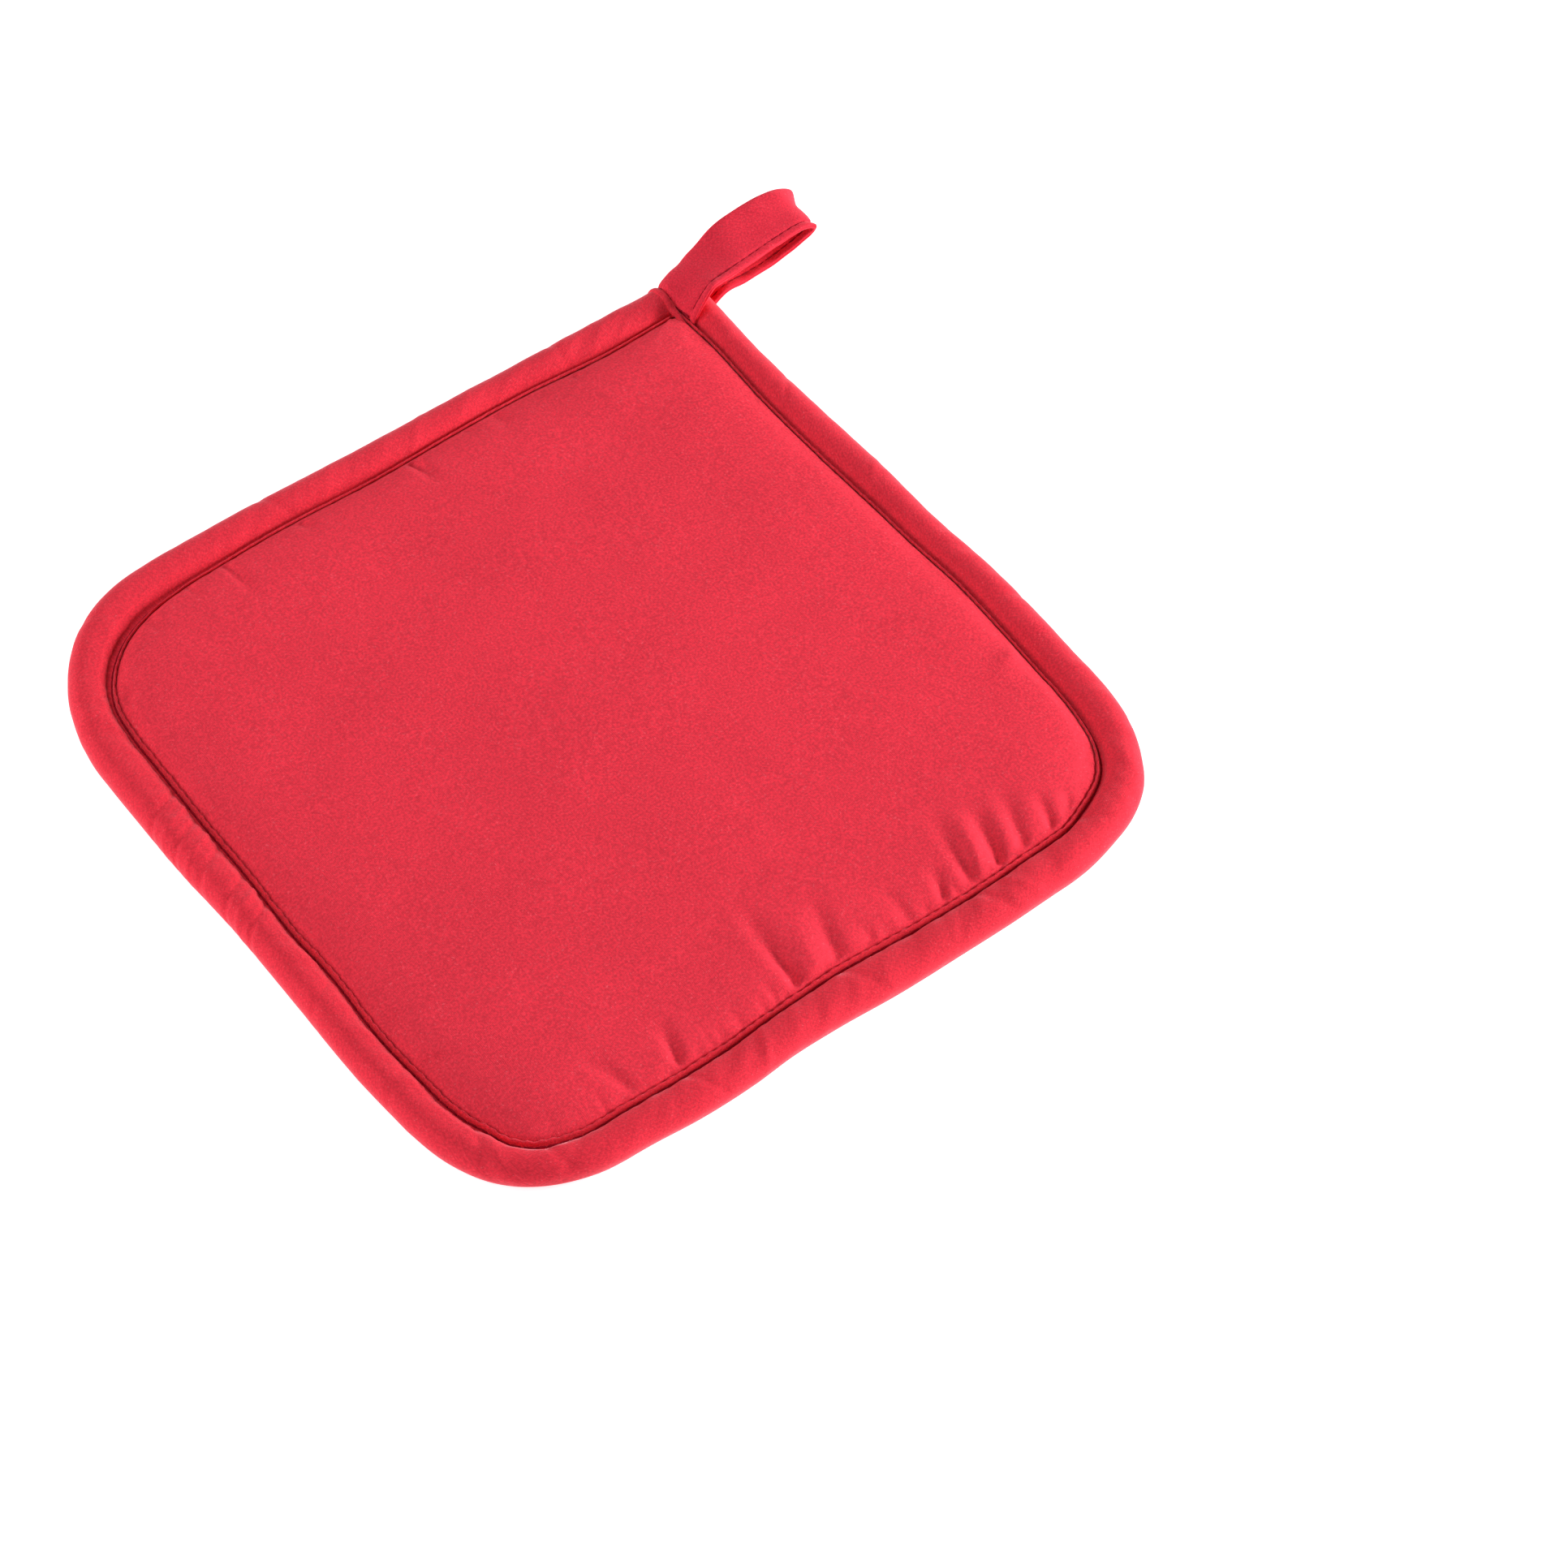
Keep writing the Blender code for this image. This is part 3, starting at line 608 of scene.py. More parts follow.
def grid_faces(rows, columns, wrap_rows=False, wrap_columns=True):
    """Quads of a grid of points, with the rows one after another."""
    shape = (rows if wrap_rows else rows - 1, columns if wrap_columns else columns - 1)
    r, c = np.indices(shape).reshape(2, -1)
    below = (r + 1) % rows
    beside = (c + 1) % columns
    corners = ((r, c), (r, beside), (below, beside), (below, c))
    return np.stack([row * columns + column for row, column in corners], axis=1)


def grid_uv(u, v):
    """Corner coordinates for grid_faces, from positions one longer than each way."""
    r, c = np.indices((len(v) - 1, len(u) - 1)).reshape(2, -1)
    corners = ((c, r), (c + 1, r), (c + 1, r + 1), (c, r + 1))
    return np.stack([np.stack((u[i], v[j]), axis=1) for i, j in corners], axis=1)


# ---- materials
class Net:
    """A material and the nodes that are added to it."""

    def __init__(self, name):
        self.material = bpy.data.materials.new(name)
        self.material.use_nodes = True
        self.tree = self.material.node_tree
        self.shader = self.tree.nodes["Principled BSDF"]

    def put(self, socket, value):
        if isinstance(value, bpy.types.NodeSocket):
            self.tree.links.new(value, socket)
        else:
            socket.default_value = value

    def set(self, name, value):
        self.put(self.shader.inputs[name], value)

    def add(self, kind, inputs=(), **settings):
        node = self.tree.nodes.new("ShaderNode" + kind)
        for key, value in settings.items():
            setattr(node, key, value)
        for key, value in inputs:
            self.put(node.inputs[key], value)
        return node

    def sum(self, operation, a, b=0.0, c=0.0):
        pairs = ((0, a), (1, b), (2, c))
        return self.add("Math", pairs, operation=operation).outputs[0]

    def product(self, *values):
        """All the values multiplied."""
        total = values[0]
        for value in values[1:]:
            total = self.sum("MULTIPLY", total, value)
        return total

    def vector(self, operation, a, b):
        node = self.add("VectorMath", ((0, a),), operation=operation)
        self.put(node.inputs["Scale" if operation == "SCALE" else 1], b)
        return node.outputs[0]

    def place(self):
        """The place on the object, in millimetres."""
        start = self.add("TexCoord").outputs["Object"]
        return self.vector("SCALE", start, 1.0 / MM)

    def axes(self, place):
        return self.add("SeparateXYZ", ((0, place),)).outputs

    def noise(self, place, scale, detail=2.0, rough=0.5, colour=False):
        """Noise between 0 and 1, with this many bumps to a millimetre."""
        pairs = (("Vector", place), ("Scale", scale), ("Detail", detail))
        node = self.add("TexNoise", pairs + (("Roughness", rough),))
        return node.outputs["Color" if colour else "Fac"]

    def between(self, value, low, high, to_low=0.0, to_high=1.0):
        """A value that eases from to_low at low to to_high at high."""
        pairs = (("Value", value), ("From Min", low), ("From Max", high))
        pairs += (("To Min", to_low), ("To Max", to_high))
        node = self.add("MapRange", pairs, interpolation_type="SMOOTHSTEP")
        return node.outputs["Result"]

    def mix(self, share, first, second, blend="MIX"):
        node = self.add("Mix", data_type="RGBA", blend_type=blend)
        self.put(node.inputs[0], share)
        self.put(node.inputs[6], first)
        self.put(node.inputs[7], second)
        return node.outputs[2]

    def toned(self, tone, colour):
        """A colour made lighter or darker by a tone of about 1."""
        grey = self.add("CombineColor", ((0, tone), (1, tone), (2, tone)))
        return self.mix(1.0, grey.outputs[0], colour, "MULTIPLY")

    def bump(self, strength, *layers):
        """Relief made of layers, each a pattern and its height in millimetres."""
        height = 0.0
        for pattern, tall in layers:
            height = self.sum("MULTIPLY_ADD", pattern, tall, height)
        pairs = (("Height", height), ("Distance", MM), ("Strength", strength))
        self.set("Normal", self.add("Bump", pairs).outputs["Normal"])


def cotton(name, colour, sheen, on_tape=False):
    """Plain woven dyed cotton: yarns with painted shade between them, slubs, lint, soft
    sheen.
    """
    net = Net(name)
    if on_tape:
        start = net.add("UVMap", uv_map="tape").outputs["UV"]
        bias = (("Vector", start), ("Angle", math.radians(BIAS_ANGLE)))
        turn = net.add("VectorRotate", bias, rotation_type="Z_AXIS")
        place = turn.outputs[0]
    else:
        place = net.place()
    # The yarns drift a little to one side and the other.
    drift = net.noise(place, 0.22, 1.0, colour=True)
    drift = net.vector("SCALE", net.vector("SUBTRACT", drift, (0.5, 0.5, 0.5)), 0.9)
    across, along, _ = net.axes(net.vector("ADD", place, drift))
    step = math.pi / YARN
    warp = net.sum("ABSOLUTE", net.sum("SINE", net.product(across, step)))
    weft = net.sum("ABSOLUTE", net.sum("SINE", net.product(along, step)))
    weave = net.product(warp, weft)
    warp_slubs = net.noise(net.vector("MULTIPLY", place, (2.6, 0.35, 1.0)), 1.0)
    weft_slubs = net.noise(net.vector("MULTIPLY", place, (0.35, 2.6, 1.0)), 1.0)
    slubs = net.sum("ADD", warp_slubs, weft_slubs)
    grain = net.noise(place, 1.8, 2.0, 0.6)
    cloudy = net.noise(place, 0.045)
    lint = net.between(net.noise(place, 2.0, 1.0), 0.62, 0.78)
    # Painted shade: the tone is a little darker where the weave dips between the yarns.
    tone = net.product(
        net.between(slubs, 0.7, 1.3, 0.96, 1.04),
        net.between(grain, 0.3, 0.7, 0.85, 1.15),
        net.between(cloudy, 0.3, 0.7, 0.97, 1.03),
        net.between(weave, 0.0, 0.6, 0.96, 1.01),
    )
    dyed = net.toned(tone, colour)
    pale = (min(colour[0] * 1.15, 1.0), colour[1] + 0.1, colour[2] + 0.11, 1.0)
    net.set("Base Color", net.mix(net.product(lint, 0.5), dyed, pale))
    net.set("Roughness", net.between(grain, 0.2, 0.8, 0.8, 0.95))
    net.set("Sheen Weight", sheen)
    net.set("Sheen Roughness", 0.36)
    net.set("Sheen Tint", (1.0, 0.62, 0.7, 1.0))
    net.set("Specular IOR Level", 0.08)
    swells = net.noise(place, 0.5)
    net.bump(0.9, (weave, 0.03), (slubs, 0.025), (grain, 0.05), (swells, 0.08))
    return net.material


def foam(name, colour):
    """Closed-cell foam rubber with a skin: grooves between the slots, fine grain, and
    painted shade in the slots and grooves.
    """
    net = Net(name)
    place = net.place()
    x, y, z = net.axes(place)
    slope = net.sum("MULTIPLY_ADD", x, 0.1, y)
    cell = net.sum("FRACT", net.product(slope, 2.0 / ROW))
    cell = net.sum("ABSOLUTE", net.sum("SUBTRACT", cell, 0.5))
    groove = net.between(net.product(cell, ROW / 2.0), 0.06, 0.34)
    grain = net.noise(place, 5.0, 3.0, 0.6)
    cloudy = net.noise(place, 0.06)
    # Painted shade: darker up in the slots, but not where the sheet rises to its rim.
    slot_shade = net.between(z, 0.12, 0.45, 1.0, 0.55)
    low = net.between(z, 1.0, 1.4, 0.0, 1.0)
    # The tone also holds painted shade, which darkens it along the grooves.
    tone = net.product(
        net.between(grain, 0.3, 0.7, 0.86, 1.14),
        net.between(cloudy, 0.3, 0.7, 0.95, 1.05),
        net.between(groove, 0.0, 1.0, 0.8, 1.03),
        net.sum("MAXIMUM", slot_shade, low),
    )
    net.set("Base Color", net.toned(tone, colour))
    net.set("Roughness", net.between(grain, 0.2, 0.8, 0.46, 0.62))
    net.set("Specular IOR Level", 0.4)
    net.bump(0.9, (groove, 0.16), (grain, 0.035))
    return net.material


def thread(name, colour):
    """Polyester sewing thread: fine twist and a little shine."""
    net = Net(name)
    fibre = net.noise(net.place(), 9.0)
    tone = net.between(fibre, 0.3, 0.7, 0.86, 1.12)
    net.set("Base Color", net.toned(tone, colour))
    net.set("Roughness", net.between(fibre, 0.2, 0.8, 0.5, 0.7))
    net.set("Specular IOR Level", 0.1)
    net.bump(1.0, (fibre, 0.05))
    return net.material


RED_FACE = cotton("red_cotton_weave", (0.84, 0.039, 0.067, 1.0), 0.12)
RED_TAPE = cotton("red_bias_tape_weave", (0.8, 0.031, 0.055, 1.0), 0.5, on_tape=True)
RED_LOOP = cotton("red_loop_tape_weave", (0.8, 0.030, 0.058, 1.0), 0.3, on_tape=True)
# The thread is red cloth made much darker than the cloth: painted shade of the stitch
# grooves it lies in.
THREAD_WITH_GROOVE_SHADE = thread("sewing_thread_with_painted_groove_shade", (0.3, 0.003, 0.015, 1.0))
SLATE = foam("slate_embossed_foam", (0.062, 0.067, 0.086, 1.0))


# ---- the face
def make_face():
    """The padded cotton face."""
    stations = spread(FACE_STATIONS, FACE_INNER_SHARE)
    insets = np.concatenate([SEAM_RINGS] + [np.arange(*run) for run in RING_RUNS])
    x, y = outline(insets[:, None], stations[None, :])
    shown = ease((insets - FACE_SHOWS) / SHOWS_OVER)[:, None]
    crown = CENTRE_CROWN * ease((insets - CROWN_START) / (HALF - CROWN_START))
    z = (curve(FACE_TOP, insets) + crown)[:, None] + puckers(x, y) * shown
    z += gathers(seam_place(stations), insets)
    z += (waves(FACE_SWELL, x, y) + waves(FACE_RIPPLE, x, y)) * shown
    top = rings_at(insets[:, None], z, stations)
    below = np.array(FACE_BOTTOM)
    under = rings_at(below[:, :1], below[:, 1:], stations)
    rings = np.concatenate((under[::-1], top))
    rows, columns = rings.shape[:2]
    middle = FACE_TOP[-1][1] + CENTRE_CROWN + waves(FACE_SWELL, 0.0, 0.0)
    hubs = [(0.0, 0.0, FACE_BOTTOM[-1][1]), (0.0, 0.0, middle)]
    points = np.concatenate((rings.reshape(-1, 3), hubs))
    around = np.arange(columns)
    beside = (around + 1) % columns
    last = (rows - 1) * columns
    hub = np.full(columns, rows * columns)
    foot = np.stack((beside, around, hub), axis=1)
    peak = np.stack((last + around, last + beside, hub + 1), axis=1)
    made = piece("face_cloth", points, (grid_faces(rows, columns), foot, peak), RED_FACE)
    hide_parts("front_panel")


# ---- the binding
def tape_section():
    """Points of the tape's outside from foot to lip, and the length up to each."""
    rows = np.array(TAPE_OUTSIDE)
    place = run_along(rows)
    wanted = []
    for a, b in zip(place, place[1:]):
        count = math.ceil((b - a) / SECTION_STEP)
        wanted += [a + (b - a) * k / count for k in range(count)]
    wanted = np.array(wanted + [place[-1]])
    columns = [curve(np.stack((place, row), axis=1), wanted) for row in rows.T]
    return np.stack(columns, axis=1), wanted


def bias_creases(seam_at, across):
    """Relief of the slanting creases: rows across the tape, columns along it."""
    total = np.zeros((len(across), len(seam_at)))
    length = SEAM_LENGTH[-1]
    for station, run, height, half_width in BIAS_CREASES:
        at = seam_place(station) + run * across
        gap = seam_at[None, :] - at[:, None]
        gap = (gap + length / 2.0) % length - length / 2.0
        share = gap / half_width
        total += height * (1.0 - CREASE_SHOULDER * share**2) * np.exp(-(share**2))
    return total


def roll_relief(inset, height, from_lip, seam_at):
    """What stands out of the rolled tape: creases and fine unevenness."""
    on_roll = ease((from_lip - LIP) / 2.0) * ease((height - 1.2) / 3.0)
    creases = bias_creases(seam_at, (from_lip - LIP) / OVER_ROLL)
    fine = 0.0
    for kind, slant, stretch in TAPE_WAVES:
        along = seam_at[None, :] + slant * from_lip[:, None]
        fine = fine + waves(kind, along, stretch * from_lip[:, None])
    # The outline stays smoother than the top of the roll.
    creases *= (on_roll * (0.5 + 0.5 * ease(inset / 1.2)))[:, None]
    calm = 0.3 + 0.7 * ease((inset - 0.4) / 2.6)
    return creases + fine * (on_roll * calm)[:, None]


def tape_shape(outer, from_lip, stations):
    """Insets and heights of the tape's outside, with all that the sewing does to it."""
    seam_at = seam_place(stations)
    inset = outer[:, 0]
    height = outer[:, 1]
    top = height > TOP_LEVEL
    hole = needle_holes(seam_at, PITCH)
    # Needle holes pull the groove down; the folded edge stands up between them.
    groove = np.exp(-(((inset - NEEDLE_INSET) / NEEDLE_WIDE) ** 2)) * top
    lip = ease((inset - LIP_INSET) / 0.3) * top
    swing = 0.5 - hole + waves(LIP_WAVE, seam_at, 0.0)
    wall = ease((inset - GROOVE_WALL) / 2.0) * (inset < GROOVE_BOTTOM) * top
    foot = ease((inset - FOOT_INSET) / 0.7) * (height < 1.0)
    relief = roll_relief(inset, height, from_lip, seam_at)
    relief -= np.outer(NEEDLE_DEEP * groove, hole)
    # The tape's outside is to the left of its run from the foot to the lip.
    tangent = np.gradient(outer, axis=0)
    tangent /= np.linalg.norm(tangent, axis=1)[:, None]
    outwards = np.stack((-tangent[:, 1], tangent[:, 0]), axis=1)
    insets = inset[:, None] + outwards[:, :1] * relief
    insets += np.outer(LIP_SWAY * lip, swing) - np.outer(wall, uneven(GROOVE, stations))
    insets += np.outer(foot, waves(FOOT_WAVE, seam_at, 0.0))
    heights = height[:, None] + outwards[:, 1:] * relief
    heights += np.outer(LIP_LIFT * lip, swing)
    return insets, np.maximum(heights, 0.0)


def make_welt(first):
    """The folded edge of the right side's tape, which runs on over the far roll."""
    path = np.array(WELT)
    run = run_along(path[:, :2])
    at = np.linspace(0.0, run[-1], WELT_ROWS)
    y, z, half, tall = (curve(np.stack((run, row), axis=1), at) for row in path.T)
    x = WELT_X + waves(WELT_WAVE, at, 0.0)
    x = x + WELT_SHIFT * ease((half - 0.35) / 0.6)
    slope = np.stack((np.gradient(y), np.gradient(z)), axis=1)
    slope /= np.linalg.norm(slope, axis=1)[:, None]
    turns = np.linspace(0.0, math.tau, WELT_SIDES, endpoint=False)
    side = np.outer(half, np.cos(turns))
    up = np.sign(np.sin(turns)) * np.abs(np.sin(turns)) ** WELT_SQUARE
    up = np.outer(tall, up)
    x = x[:, None] + side
    y = y[:, None] - slope[:, 1:] * up
    z = np.maximum(thicken(x, y, z[:, None] + slope[:, :1] * up), 0.0)
    points = np.stack((x, y, z), axis=2)
    points[0] = points[0].mean(axis=0)
    points[-1] = points[-1].mean(axis=0)
    around = np.linspace(0.0, WELT_ROUND, WELT_SIDES + 1)
    faces = grid_faces(WELT_ROWS, WELT_SIDES) + first
    return points.reshape(-1, 3), faces, grid_uv(around, at)


def make_binding():
    """The tape folded round the edge."""
    outer, run = tape_section()
    inner = np.array(TAPE_INSIDE)
    stations = spread(TAPE_STATIONS, TAPE_INNER_SHARE)
    insets, heights = tape_shape(outer, run[-1] - run, stations)
    shown = rings_at(insets, heights, stations)
    hidden = rings_at(inner[:, :1], inner[:, 1:], stations)
    rings = np.concatenate((shown, hidden))
    rows, columns = rings.shape[:2]
    inside = run[-1] + np.arange(1, len(inner) + 2) * INSIDE_STEP
    u = np.concatenate((seam_place(stations), [SEAM_LENGTH[-1]]))
    v = np.concatenate((run, inside))
    faces = grid_faces(rows, columns, wrap_rows=True)
    welt, welt_faces, welt_uv = make_welt(rows * columns)
    points = np.concatenate((rings.reshape(-1, 3), welt))
    faces = (np.concatenate((faces, welt_faces)),)
    uv = np.concatenate((grid_uv(u, v), welt_uv))
    made = piece("edge_binding", points, faces, RED_TAPE, uv)
    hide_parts("binding")


# ---- the loop
def spline(rows, t):
    """A smooth curve through the rows, one row for each whole t."""
    last = len(rows) - 1
    i = min(int(t), last - 1)
    u = t - i
    before = rows[max(i - 1, 0)]
    start = rows[i]
    end = rows[i + 1]
    after = rows[min(i + 2, last)]
    rise = (end - before) / 2.0
    fall = (after - start) / 2.0
    a = 2.0 * start - 2.0 * end + rise + fall
    b = 3.0 * end - 3.0 * start - 2.0 * rise - fall
    return ((a * u + b) * u + rise) * u + start


def loop_frame(along, shares):
    """The tape's middle as a grid of points, and the way out of the loop at each."""
    rows = np.array(LOOP)
    shares = np.asarray(shares, float)
    grid = np.zeros((len(along), len(shares), 3))
    crumple = curve(TIP_CRUMPLE, shares)
    for i, t in enumerate(along):
        values = spline(rows, t)
        near = values[0:3]
        far = values[3:6]
        at_tip = math.exp(-(((t - TIP_ROW) / TIP_REACH) ** 2))
        bow = ((0.0, 0.0), (0.5, values[6]), (0.8, values[7]), (1.0, 0.0))
        grid[i] = near + np.outer(shares, far - near)
        grid[i, :, 2] += curve(bow, shares)
        grid[i, :, 0] -= at_tip * crumple
    normal = np.cross(np.gradient(grid, axis=0), np.gradient(grid, axis=1))
    normal /= np.linalg.norm(normal, axis=2)[:, :, None]
    return grid, normal


def make_loop():
    """The hanging loop: tape folded in two and sewn along its open edges."""
    upper = np.array(LOOP_SECTION)
    section = np.concatenate((upper, (upper * (1.0, -1.0))[-2::-1]))
    across, off = section.T
    along = np.linspace(0.0, len(LOOP) - 1.0, LOOP_ROWS)
    lines = np.unique(upper[:, 0] / LOOP_WIDTH)
    line_of = np.searchsorted(lines, across / LOOP_WIDTH)
    measured = np.searchsorted(lines, LOOP_MEASURED_AT / LOOP_WIDTH)
    grid, normal = loop_frame(along, lines)
    run = run_along(grid[:, measured])
    # The needle presses the layers together; the cloth sways between the sewn ends.
    pressed = np.exp(-(((across - LOOP_SEWN_AT) / LOOP_SEWN_WIDE) ** 2))
    holes = needle_holes(run, LOOP_STITCH)
    offset = off - np.outer(LOOP_SEWN_DEEP * holes, np.sign(off) * pressed)
    sway = waves(LOOP_SWAY, run[:, None], across)
    sway = sway + waves(LOOP_RIPPLE, run[:, None] + across, 0.4 * across)
    fade = ease(run / ROOT_FADE) * ease((run[-1] - run) / END_FADE)
    offset += sway * fade[:, None]
    points = grid[:, line_of] + normal[:, line_of] * offset[:, :, None]
    rows, columns = points.shape[:2]
    cap = np.arange(1, columns - 1)
    fan = np.stack((np.zeros_like(cap), cap, cap + 1), axis=1)
    ends = (fan[:, [0, 2, 1]], (rows - 1) * columns + fan)
    faces = [part[:, ::-1] for part in (grid_faces(rows, columns),) + ends]
    made = piece("loop_tape", points.reshape(-1, 3), faces, RED_LOOP)
    round_it = run_along(section)
    corner = np.empty(len(made.data.loops), np.int32)
    made.data.loops.foreach_get("vertex_index", corner)
    flat = np.stack((round_it[corner % columns], run[corner // columns]), axis=1)
    layer = made.data.uv_layers.new(name="tape")
    layer.data.foreach_set("uv", flat.reshape(-1).astype(np.float32))
    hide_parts("hanging_loop")


# ---- the sewing
class Sewing:
    """The stitches that are sewn so far, each a short tube."""

    def __init__(self):
        self.points = []
        self.walls = []
        self.caps = []

    def stitch(self, start, end, away, radius=STITCH_RADIUS, lift=STITCH_LIFT):
        """One stitch, which comes out of one hole and goes down the next."""
        base = len(self.points)
        away = np.asarray(away, float) / np.linalg.norm(away)
        run = np.subtract(end, start)
        side = np.cross(away, run)
        side /= np.linalg.norm(side)
        for share in STITCH_SHARES:
            from_middle = 2.0 * share - 1.0
            rise = lift * (1.0 - from_middle**4)
            thick = radius * (0.55 + 0.45 * (1.0 - from_middle**6))
            middle = start + run * share + away * (rise - lift * 0.55)
            for k in range(STITCH_SIDES):
                turn = math.tau * k / STITCH_SIDES
                out = away * math.cos(turn) + side * math.sin(turn)
                self.points.append(middle + out * thick)
        self.walls.append(base + grid_faces(len(STITCH_SHARES), STITCH_SIDES))
        last = base + (len(STITCH_SHARES) - 1) * STITCH_SIDES
        for k in range(1, STITCH_SIDES - 1):
            self.caps.append((base, base + k + 1, base + k))
            self.caps.append((last, last + k, last + k + 1))


def sew_seam(sewing, inset, height, away):
    """The line of stitches all round, at this inset and height."""
    places = (np.arange(STITCHES + 1) / STITCHES) * SEAM_LENGTH[-1]
    stations = np.interp(places, SEAM_LENGTH, ALL_ROUND)
    stations[-1] = 0.0
    holes = rings_at(inset, height, stations)[0]
    for a, b in zip(holes, holes[1:]):
        gap = (b - a) * STITCH_GAP
        sewing.stitch(a + gap, b - gap, (0.0, 0.0, away))


def sew_loop(sewing):
    """Along the loop's open edges, on its upper and under side."""
    along = np.linspace(0.0, len(LOOP) - 1.0, LOOP_STITCH_ROWS)
    # The line itself, between two others that show how the tape lies.
    grid, normal = loop_frame(along, (0.1, LOOP_SEWN_AT / LOOP_WIDTH, 0.16))
    line = grid[:, 1]
    off = normal[:, 1]
    run = run_along(line)
    at = np.arange(LOOP_STITCH, run[-1] - 1.0, LOOP_STITCH)
    place, away = (
        np.stack([np.interp(at, run, row) for row in part.T], axis=1)
        for part in (line, off)
    )
    for i in range(len(at) - 1):
        for side in (LOOP_STITCH_OFF, -LOOP_STITCH_OFF):
            a = place[i] + away[i] * side
            b = place[i + 1] + away[i + 1] * side
            gap = (b - a) * LOOP_STITCH_GAP
            out = away[i] * side
            sewing.stitch(a + gap, b - gap, out, LOOP_STITCH_RADIUS, LOOP_STITCH_LIFT)


def sew_root(sewing):
    """Across the loop's root."""
    for k in range(CROSSING_STITCHES):
        y = CROSSING_Y + k * LOOP_STITCH
        z, next_z = (float(curve(CROSSING_LINE, HALF - at)) for at in (y, y + LOOP_STITCH))
        start = (CROSSING_X, y + CROSSING_GAP, z)
        end = (CROSSING_X, y + LOOP_STITCH - CROSSING_GAP, next_z)
        sewing.stitch(start, end, (0.0, 0.0, 1.0))


def make_thread():
    """All the stitches."""
    sewing = Sewing()
    for inset, height, away in SEWN_LINES:
        sew_seam(sewing, inset, height, away)
    sew_loop(sewing)
    sew_root(sewing)
    faces = (np.concatenate(sewing.walls)[:, ::-1], np.array(sewing.caps)[:, ::-1])
    made = piece("sewing_thread", sewing.points, faces, THREAD_WITH_GROOVE_SHADE)


# ---- the back
def inside_distance(x, y, ring_x, ring_y):
    """Distance of points from a closed line, positive inside it."""
    nearest = np.full(len(x), np.inf)
    crossings = np.zeros(len(x), int)
    next_x = np.roll(ring_x, -1)
    next_y = np.roll(ring_y, -1)
    for ax, ay, bx, by in zip(ring_x, ring_y, next_x, next_y):
        dx = bx - ax
        dy = by - ay
        t = np.clip(((x - ax) * dx + (y - ay) * dy) / (dx * dx + dy * dy), 0.0, 1.0)
        nearest = np.minimum(nearest, np.hypot(x - ax - t * dx, y - ay - t * dy))
        over = (ay > y) != (by > y)
        # A level edge is never crossed, so what it is divided by doesn't matter.
        hit = x < dx * (y - ay) / (dy or 1.0) + ax
        crossings += over & hit
    return np.where(crossings % 2 == 1, nearest, -nearest)


def foam_underside():
    """Points, quads and distance inside the tape's edge of the embossed pattern."""
    columns = np.arange(-COLUMNS_EACH_WAY, COLUMNS_EACH_WAY + 1)
    xs = (columns[:, None] * COLUMN + np.array(SLOT_LINES)[None, :]).ravel()
    column_of = np.repeat(columns, len(SLOT_LINES))
    offset = np.tile(SLOT_LINES, len(columns))
    rows = np.arange(-ROWS_EACH_WAY, ROWS_EACH_WAY)
    ys = (rows[:, None] * ROW + np.array(SLOT_ENDS)[None, :]).ravel()
    x, y = np.meshgrid(xs, ys, indexing="ij")
    # The slots of every other column lie half a row further on.
    shift = np.where(column_of % 2 == 0, 0.0, ROW / 2.0)[:, None]
    off_centre = np.abs((y - shift + ROW / 2.0) % ROW - ROW / 2.0)
    in_column = (np.abs(offset) < SLOT_HALF_WIDTH)[:, None]
    in_slot = in_column & (off_centre < SLOT_HALF_LENGTH)
    ridge = (offset > RIDGE_FROM)[:, None]
    relief = np.where(in_slot, SLOT_DEEP, np.where(ridge, 0.0, RIM))
    around = np.linspace(0.0, STATIONS, OUTLINE_POINTS, endpoint=False)
    edge_x, edge_y = outline(FOAM_INSET, around)
    inside = inside_distance(x.ravel(), y.ravel(), edge_x, edge_y)
    z = curve(FOAM_BOTTOM, FOAM_INSET + inside.reshape(x.shape)) + relief
    points = np.stack((x, y, thicken(x, y, z)), axis=2).reshape(-1, 3)
    return points, grid_faces(len(xs), len(ys), wrap_columns=False), inside


def make_back():
    """The foam rubber sheet."""
    points, quads, inside = foam_underside()
    quads = quads[(inside[quads] > -FOAM_UNDER_TAPE).all(axis=1)]
    used, renumbered = np.unique(quads, return_inverse=True)
    quads = renumbered.reshape(quads.shape)
    points = points[used]
    # Walls stand on every edge that has a quad on one side only, up to a flat lid.
    edges = np.concatenate([quads[:, [k, (k + 1) % 4]] for k in range(4)])
    key = np.sort(edges, axis=1)
    _, first, number = np.unique(key, axis=0, return_index=True, return_counts=True)
    border = edges[first[number == 1]]
    rim, on_rim = np.unique(border, return_inverse=True)
    on_rim = on_rim.reshape(border.shape) + len(points)
    lifted = points[rim].copy()
    lifted[:, 2] = FOAM_TOP
    walls = np.stack((border[:, 1], border[:, 0], on_rim[:, 0], on_rim[:, 1]), axis=1)
    hub = len(points) + len(lifted)
    lid = np.stack((on_rim[:, 1], on_rim[:, 0], np.full(len(border), hub)), axis=1)
    points = np.concatenate((points, lifted, [(0.0, 0.0, FOAM_TOP)]))
    made = piece("grip_back", points, (quads, walls, lid), SLATE)
    made.data.set_sharp_from_angle(angle=math.radians(SHARP_ANGLE))
    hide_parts("back_panel")


make_face()
make_binding()
make_loop()
make_thread()
make_back()


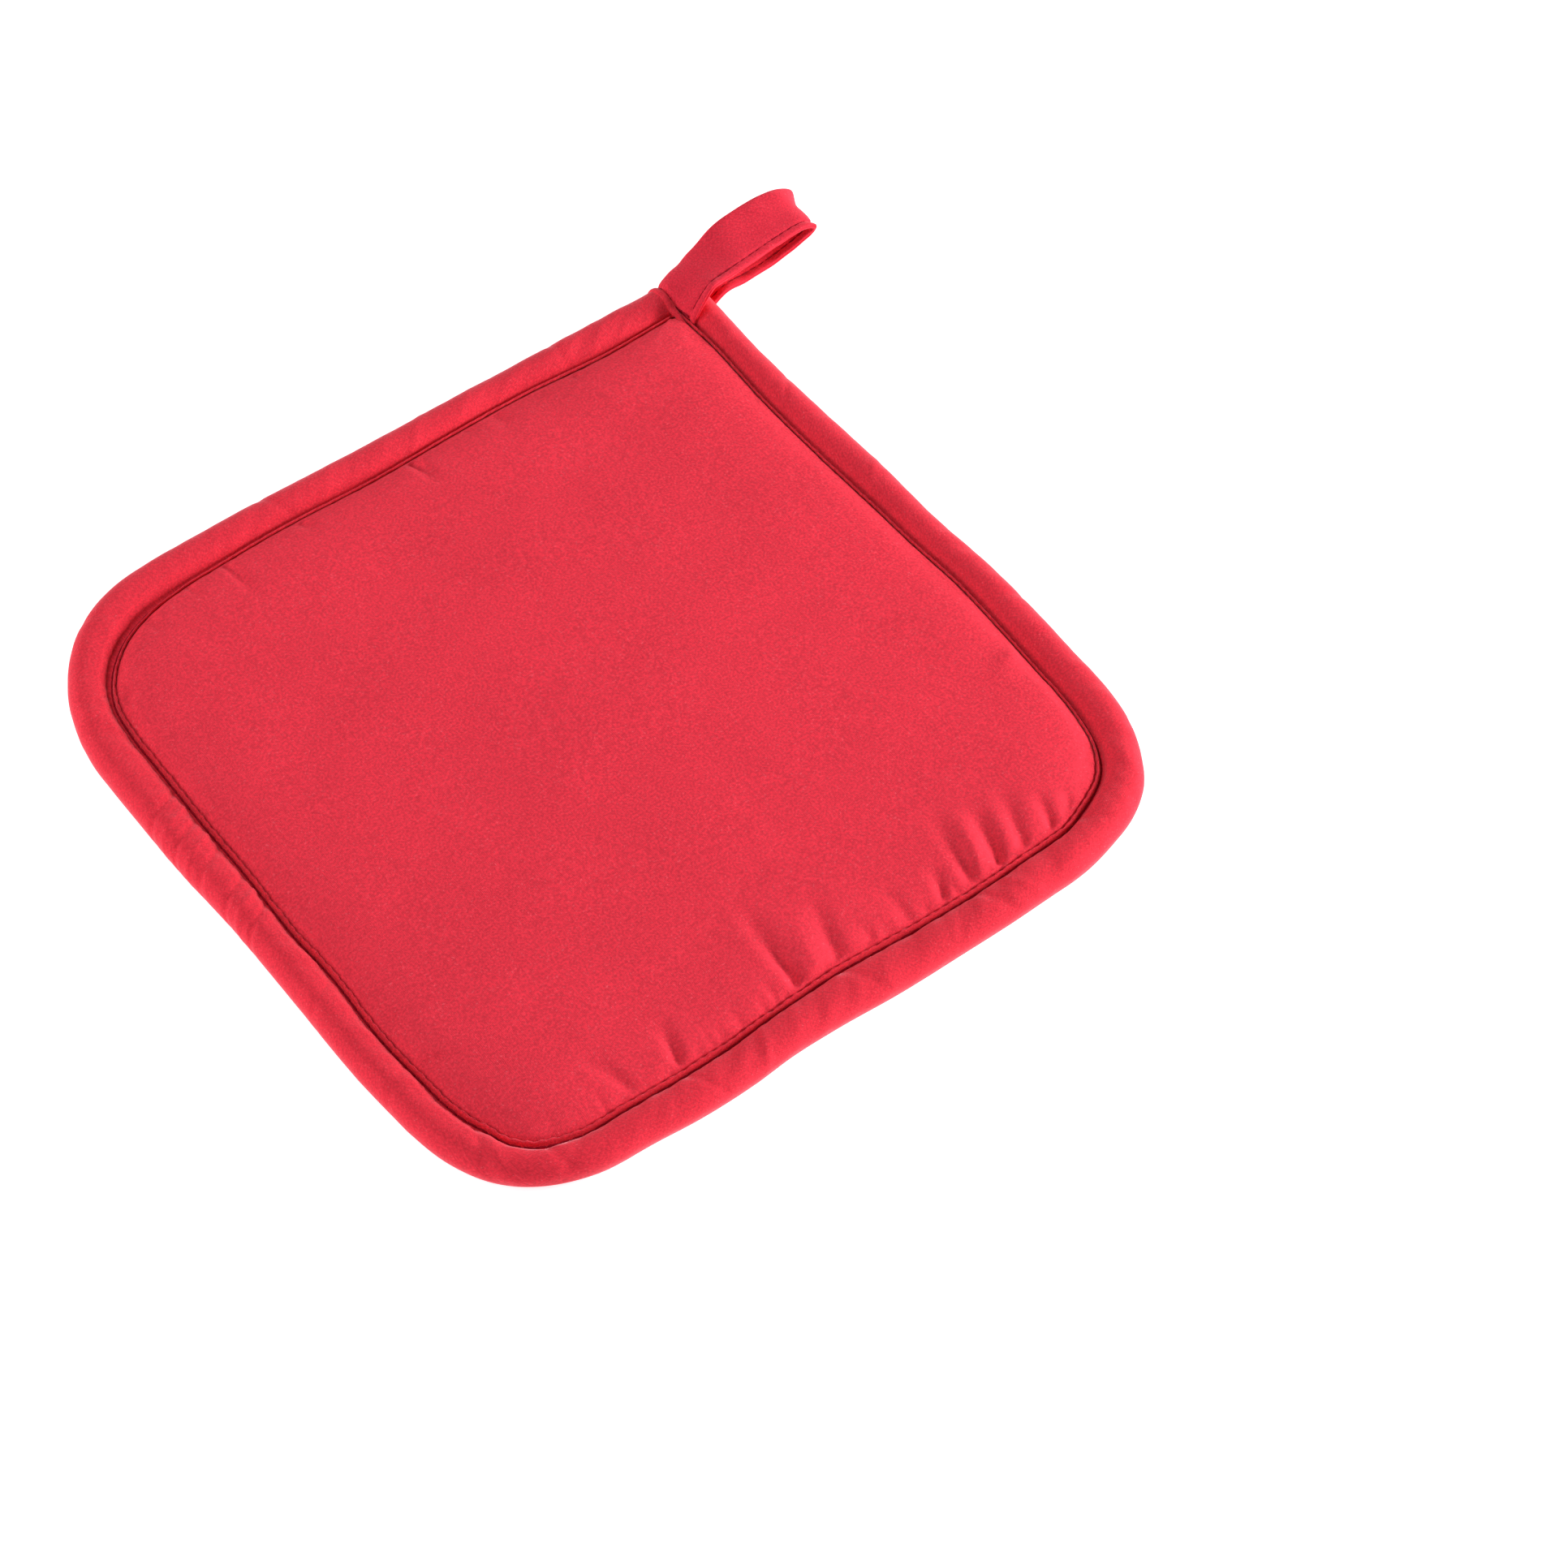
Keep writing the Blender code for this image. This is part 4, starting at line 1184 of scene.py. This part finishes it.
# ---- floor, light, camera
def make_floor():
    """A pale floor just under the object, with no edge in sight."""
    net = Net("pale_floor")
    net.set("Base Color", (0.7, 0.7, 0.705, 1.0))
    net.set("Roughness", 0.9)
    net.set("Specular IOR Level", 0.1)
    net.set("Emission Color", (1.0, 1.0, 1.0, 1.0))
    net.set("Emission Strength", FLOOR_GLOW)
    data = bpy.data.meshes.new("floor")
    signs = ((-1.0, -1.0), (1.0, -1.0), (1.0, 1.0), (-1.0, 1.0))
    corners = [(x * FLOOR_HALF, y * FLOOR_HALF, 0.0) for x, y in signs]
    data.from_pydata(corners, [], [range(4)])
    data.materials.append(net.material)
    floor = add_object("floor", data)
    floor.location.z = -FLOOR_DROP


def softbox(name, azimuth, elevation, size, power):
    """A square area light that faces the object, with +X at azimuth 0."""
    data = bpy.data.lights.new(name, "AREA")
    data.shape = "SQUARE"
    data.size = size
    data.energy = power
    turn = math.radians(azimuth)
    tilt = math.radians(elevation)
    flat = math.cos(tilt)
    back = np.array((math.cos(turn) * flat, math.sin(turn) * flat, math.sin(tilt)))
    place = back * LIGHT_AWAY
    side = np.cross((0.0, 0.0, 1.0), back)
    side /= np.linalg.norm(side)
    up = np.cross(back, side)
    rows = [[side[k], up[k], back[k], place[k]] for k in range(3)]
    light = add_object(name, data)
    light.matrix_world = Matrix(rows + [[0.0, 0.0, 0.0, 1.0]])


def make_world():
    """Faint even light from all round."""
    world = bpy.data.worlds.new("white_room")
    world.use_nodes = True
    background = world.node_tree.nodes["Background"]
    background.inputs["Color"].default_value = (1.0, 1.0, 1.0, 1.0)
    background.inputs["Strength"].default_value = WORLD_GLOW
    bpy.context.scene.world = world


def make_camera():
    """The camera, at the photograph's angle and distance."""
    data = bpy.data.cameras.new("camera")
    data.lens = LENS
    data.sensor_width = SENSOR
    camera = add_object("camera", data)
    turn = Euler([math.radians(angle) for angle in CAMERA_TURN])
    camera.matrix_world = Matrix.LocRotScale(CAMERA_PLACE, turn, None)
    bpy.context.scene.camera = camera


make_floor()
for light_row in LIGHTS:
    softbox(*light_row)
make_world()
make_camera()
bpy.context.scene.view_settings.view_transform = "Standard"
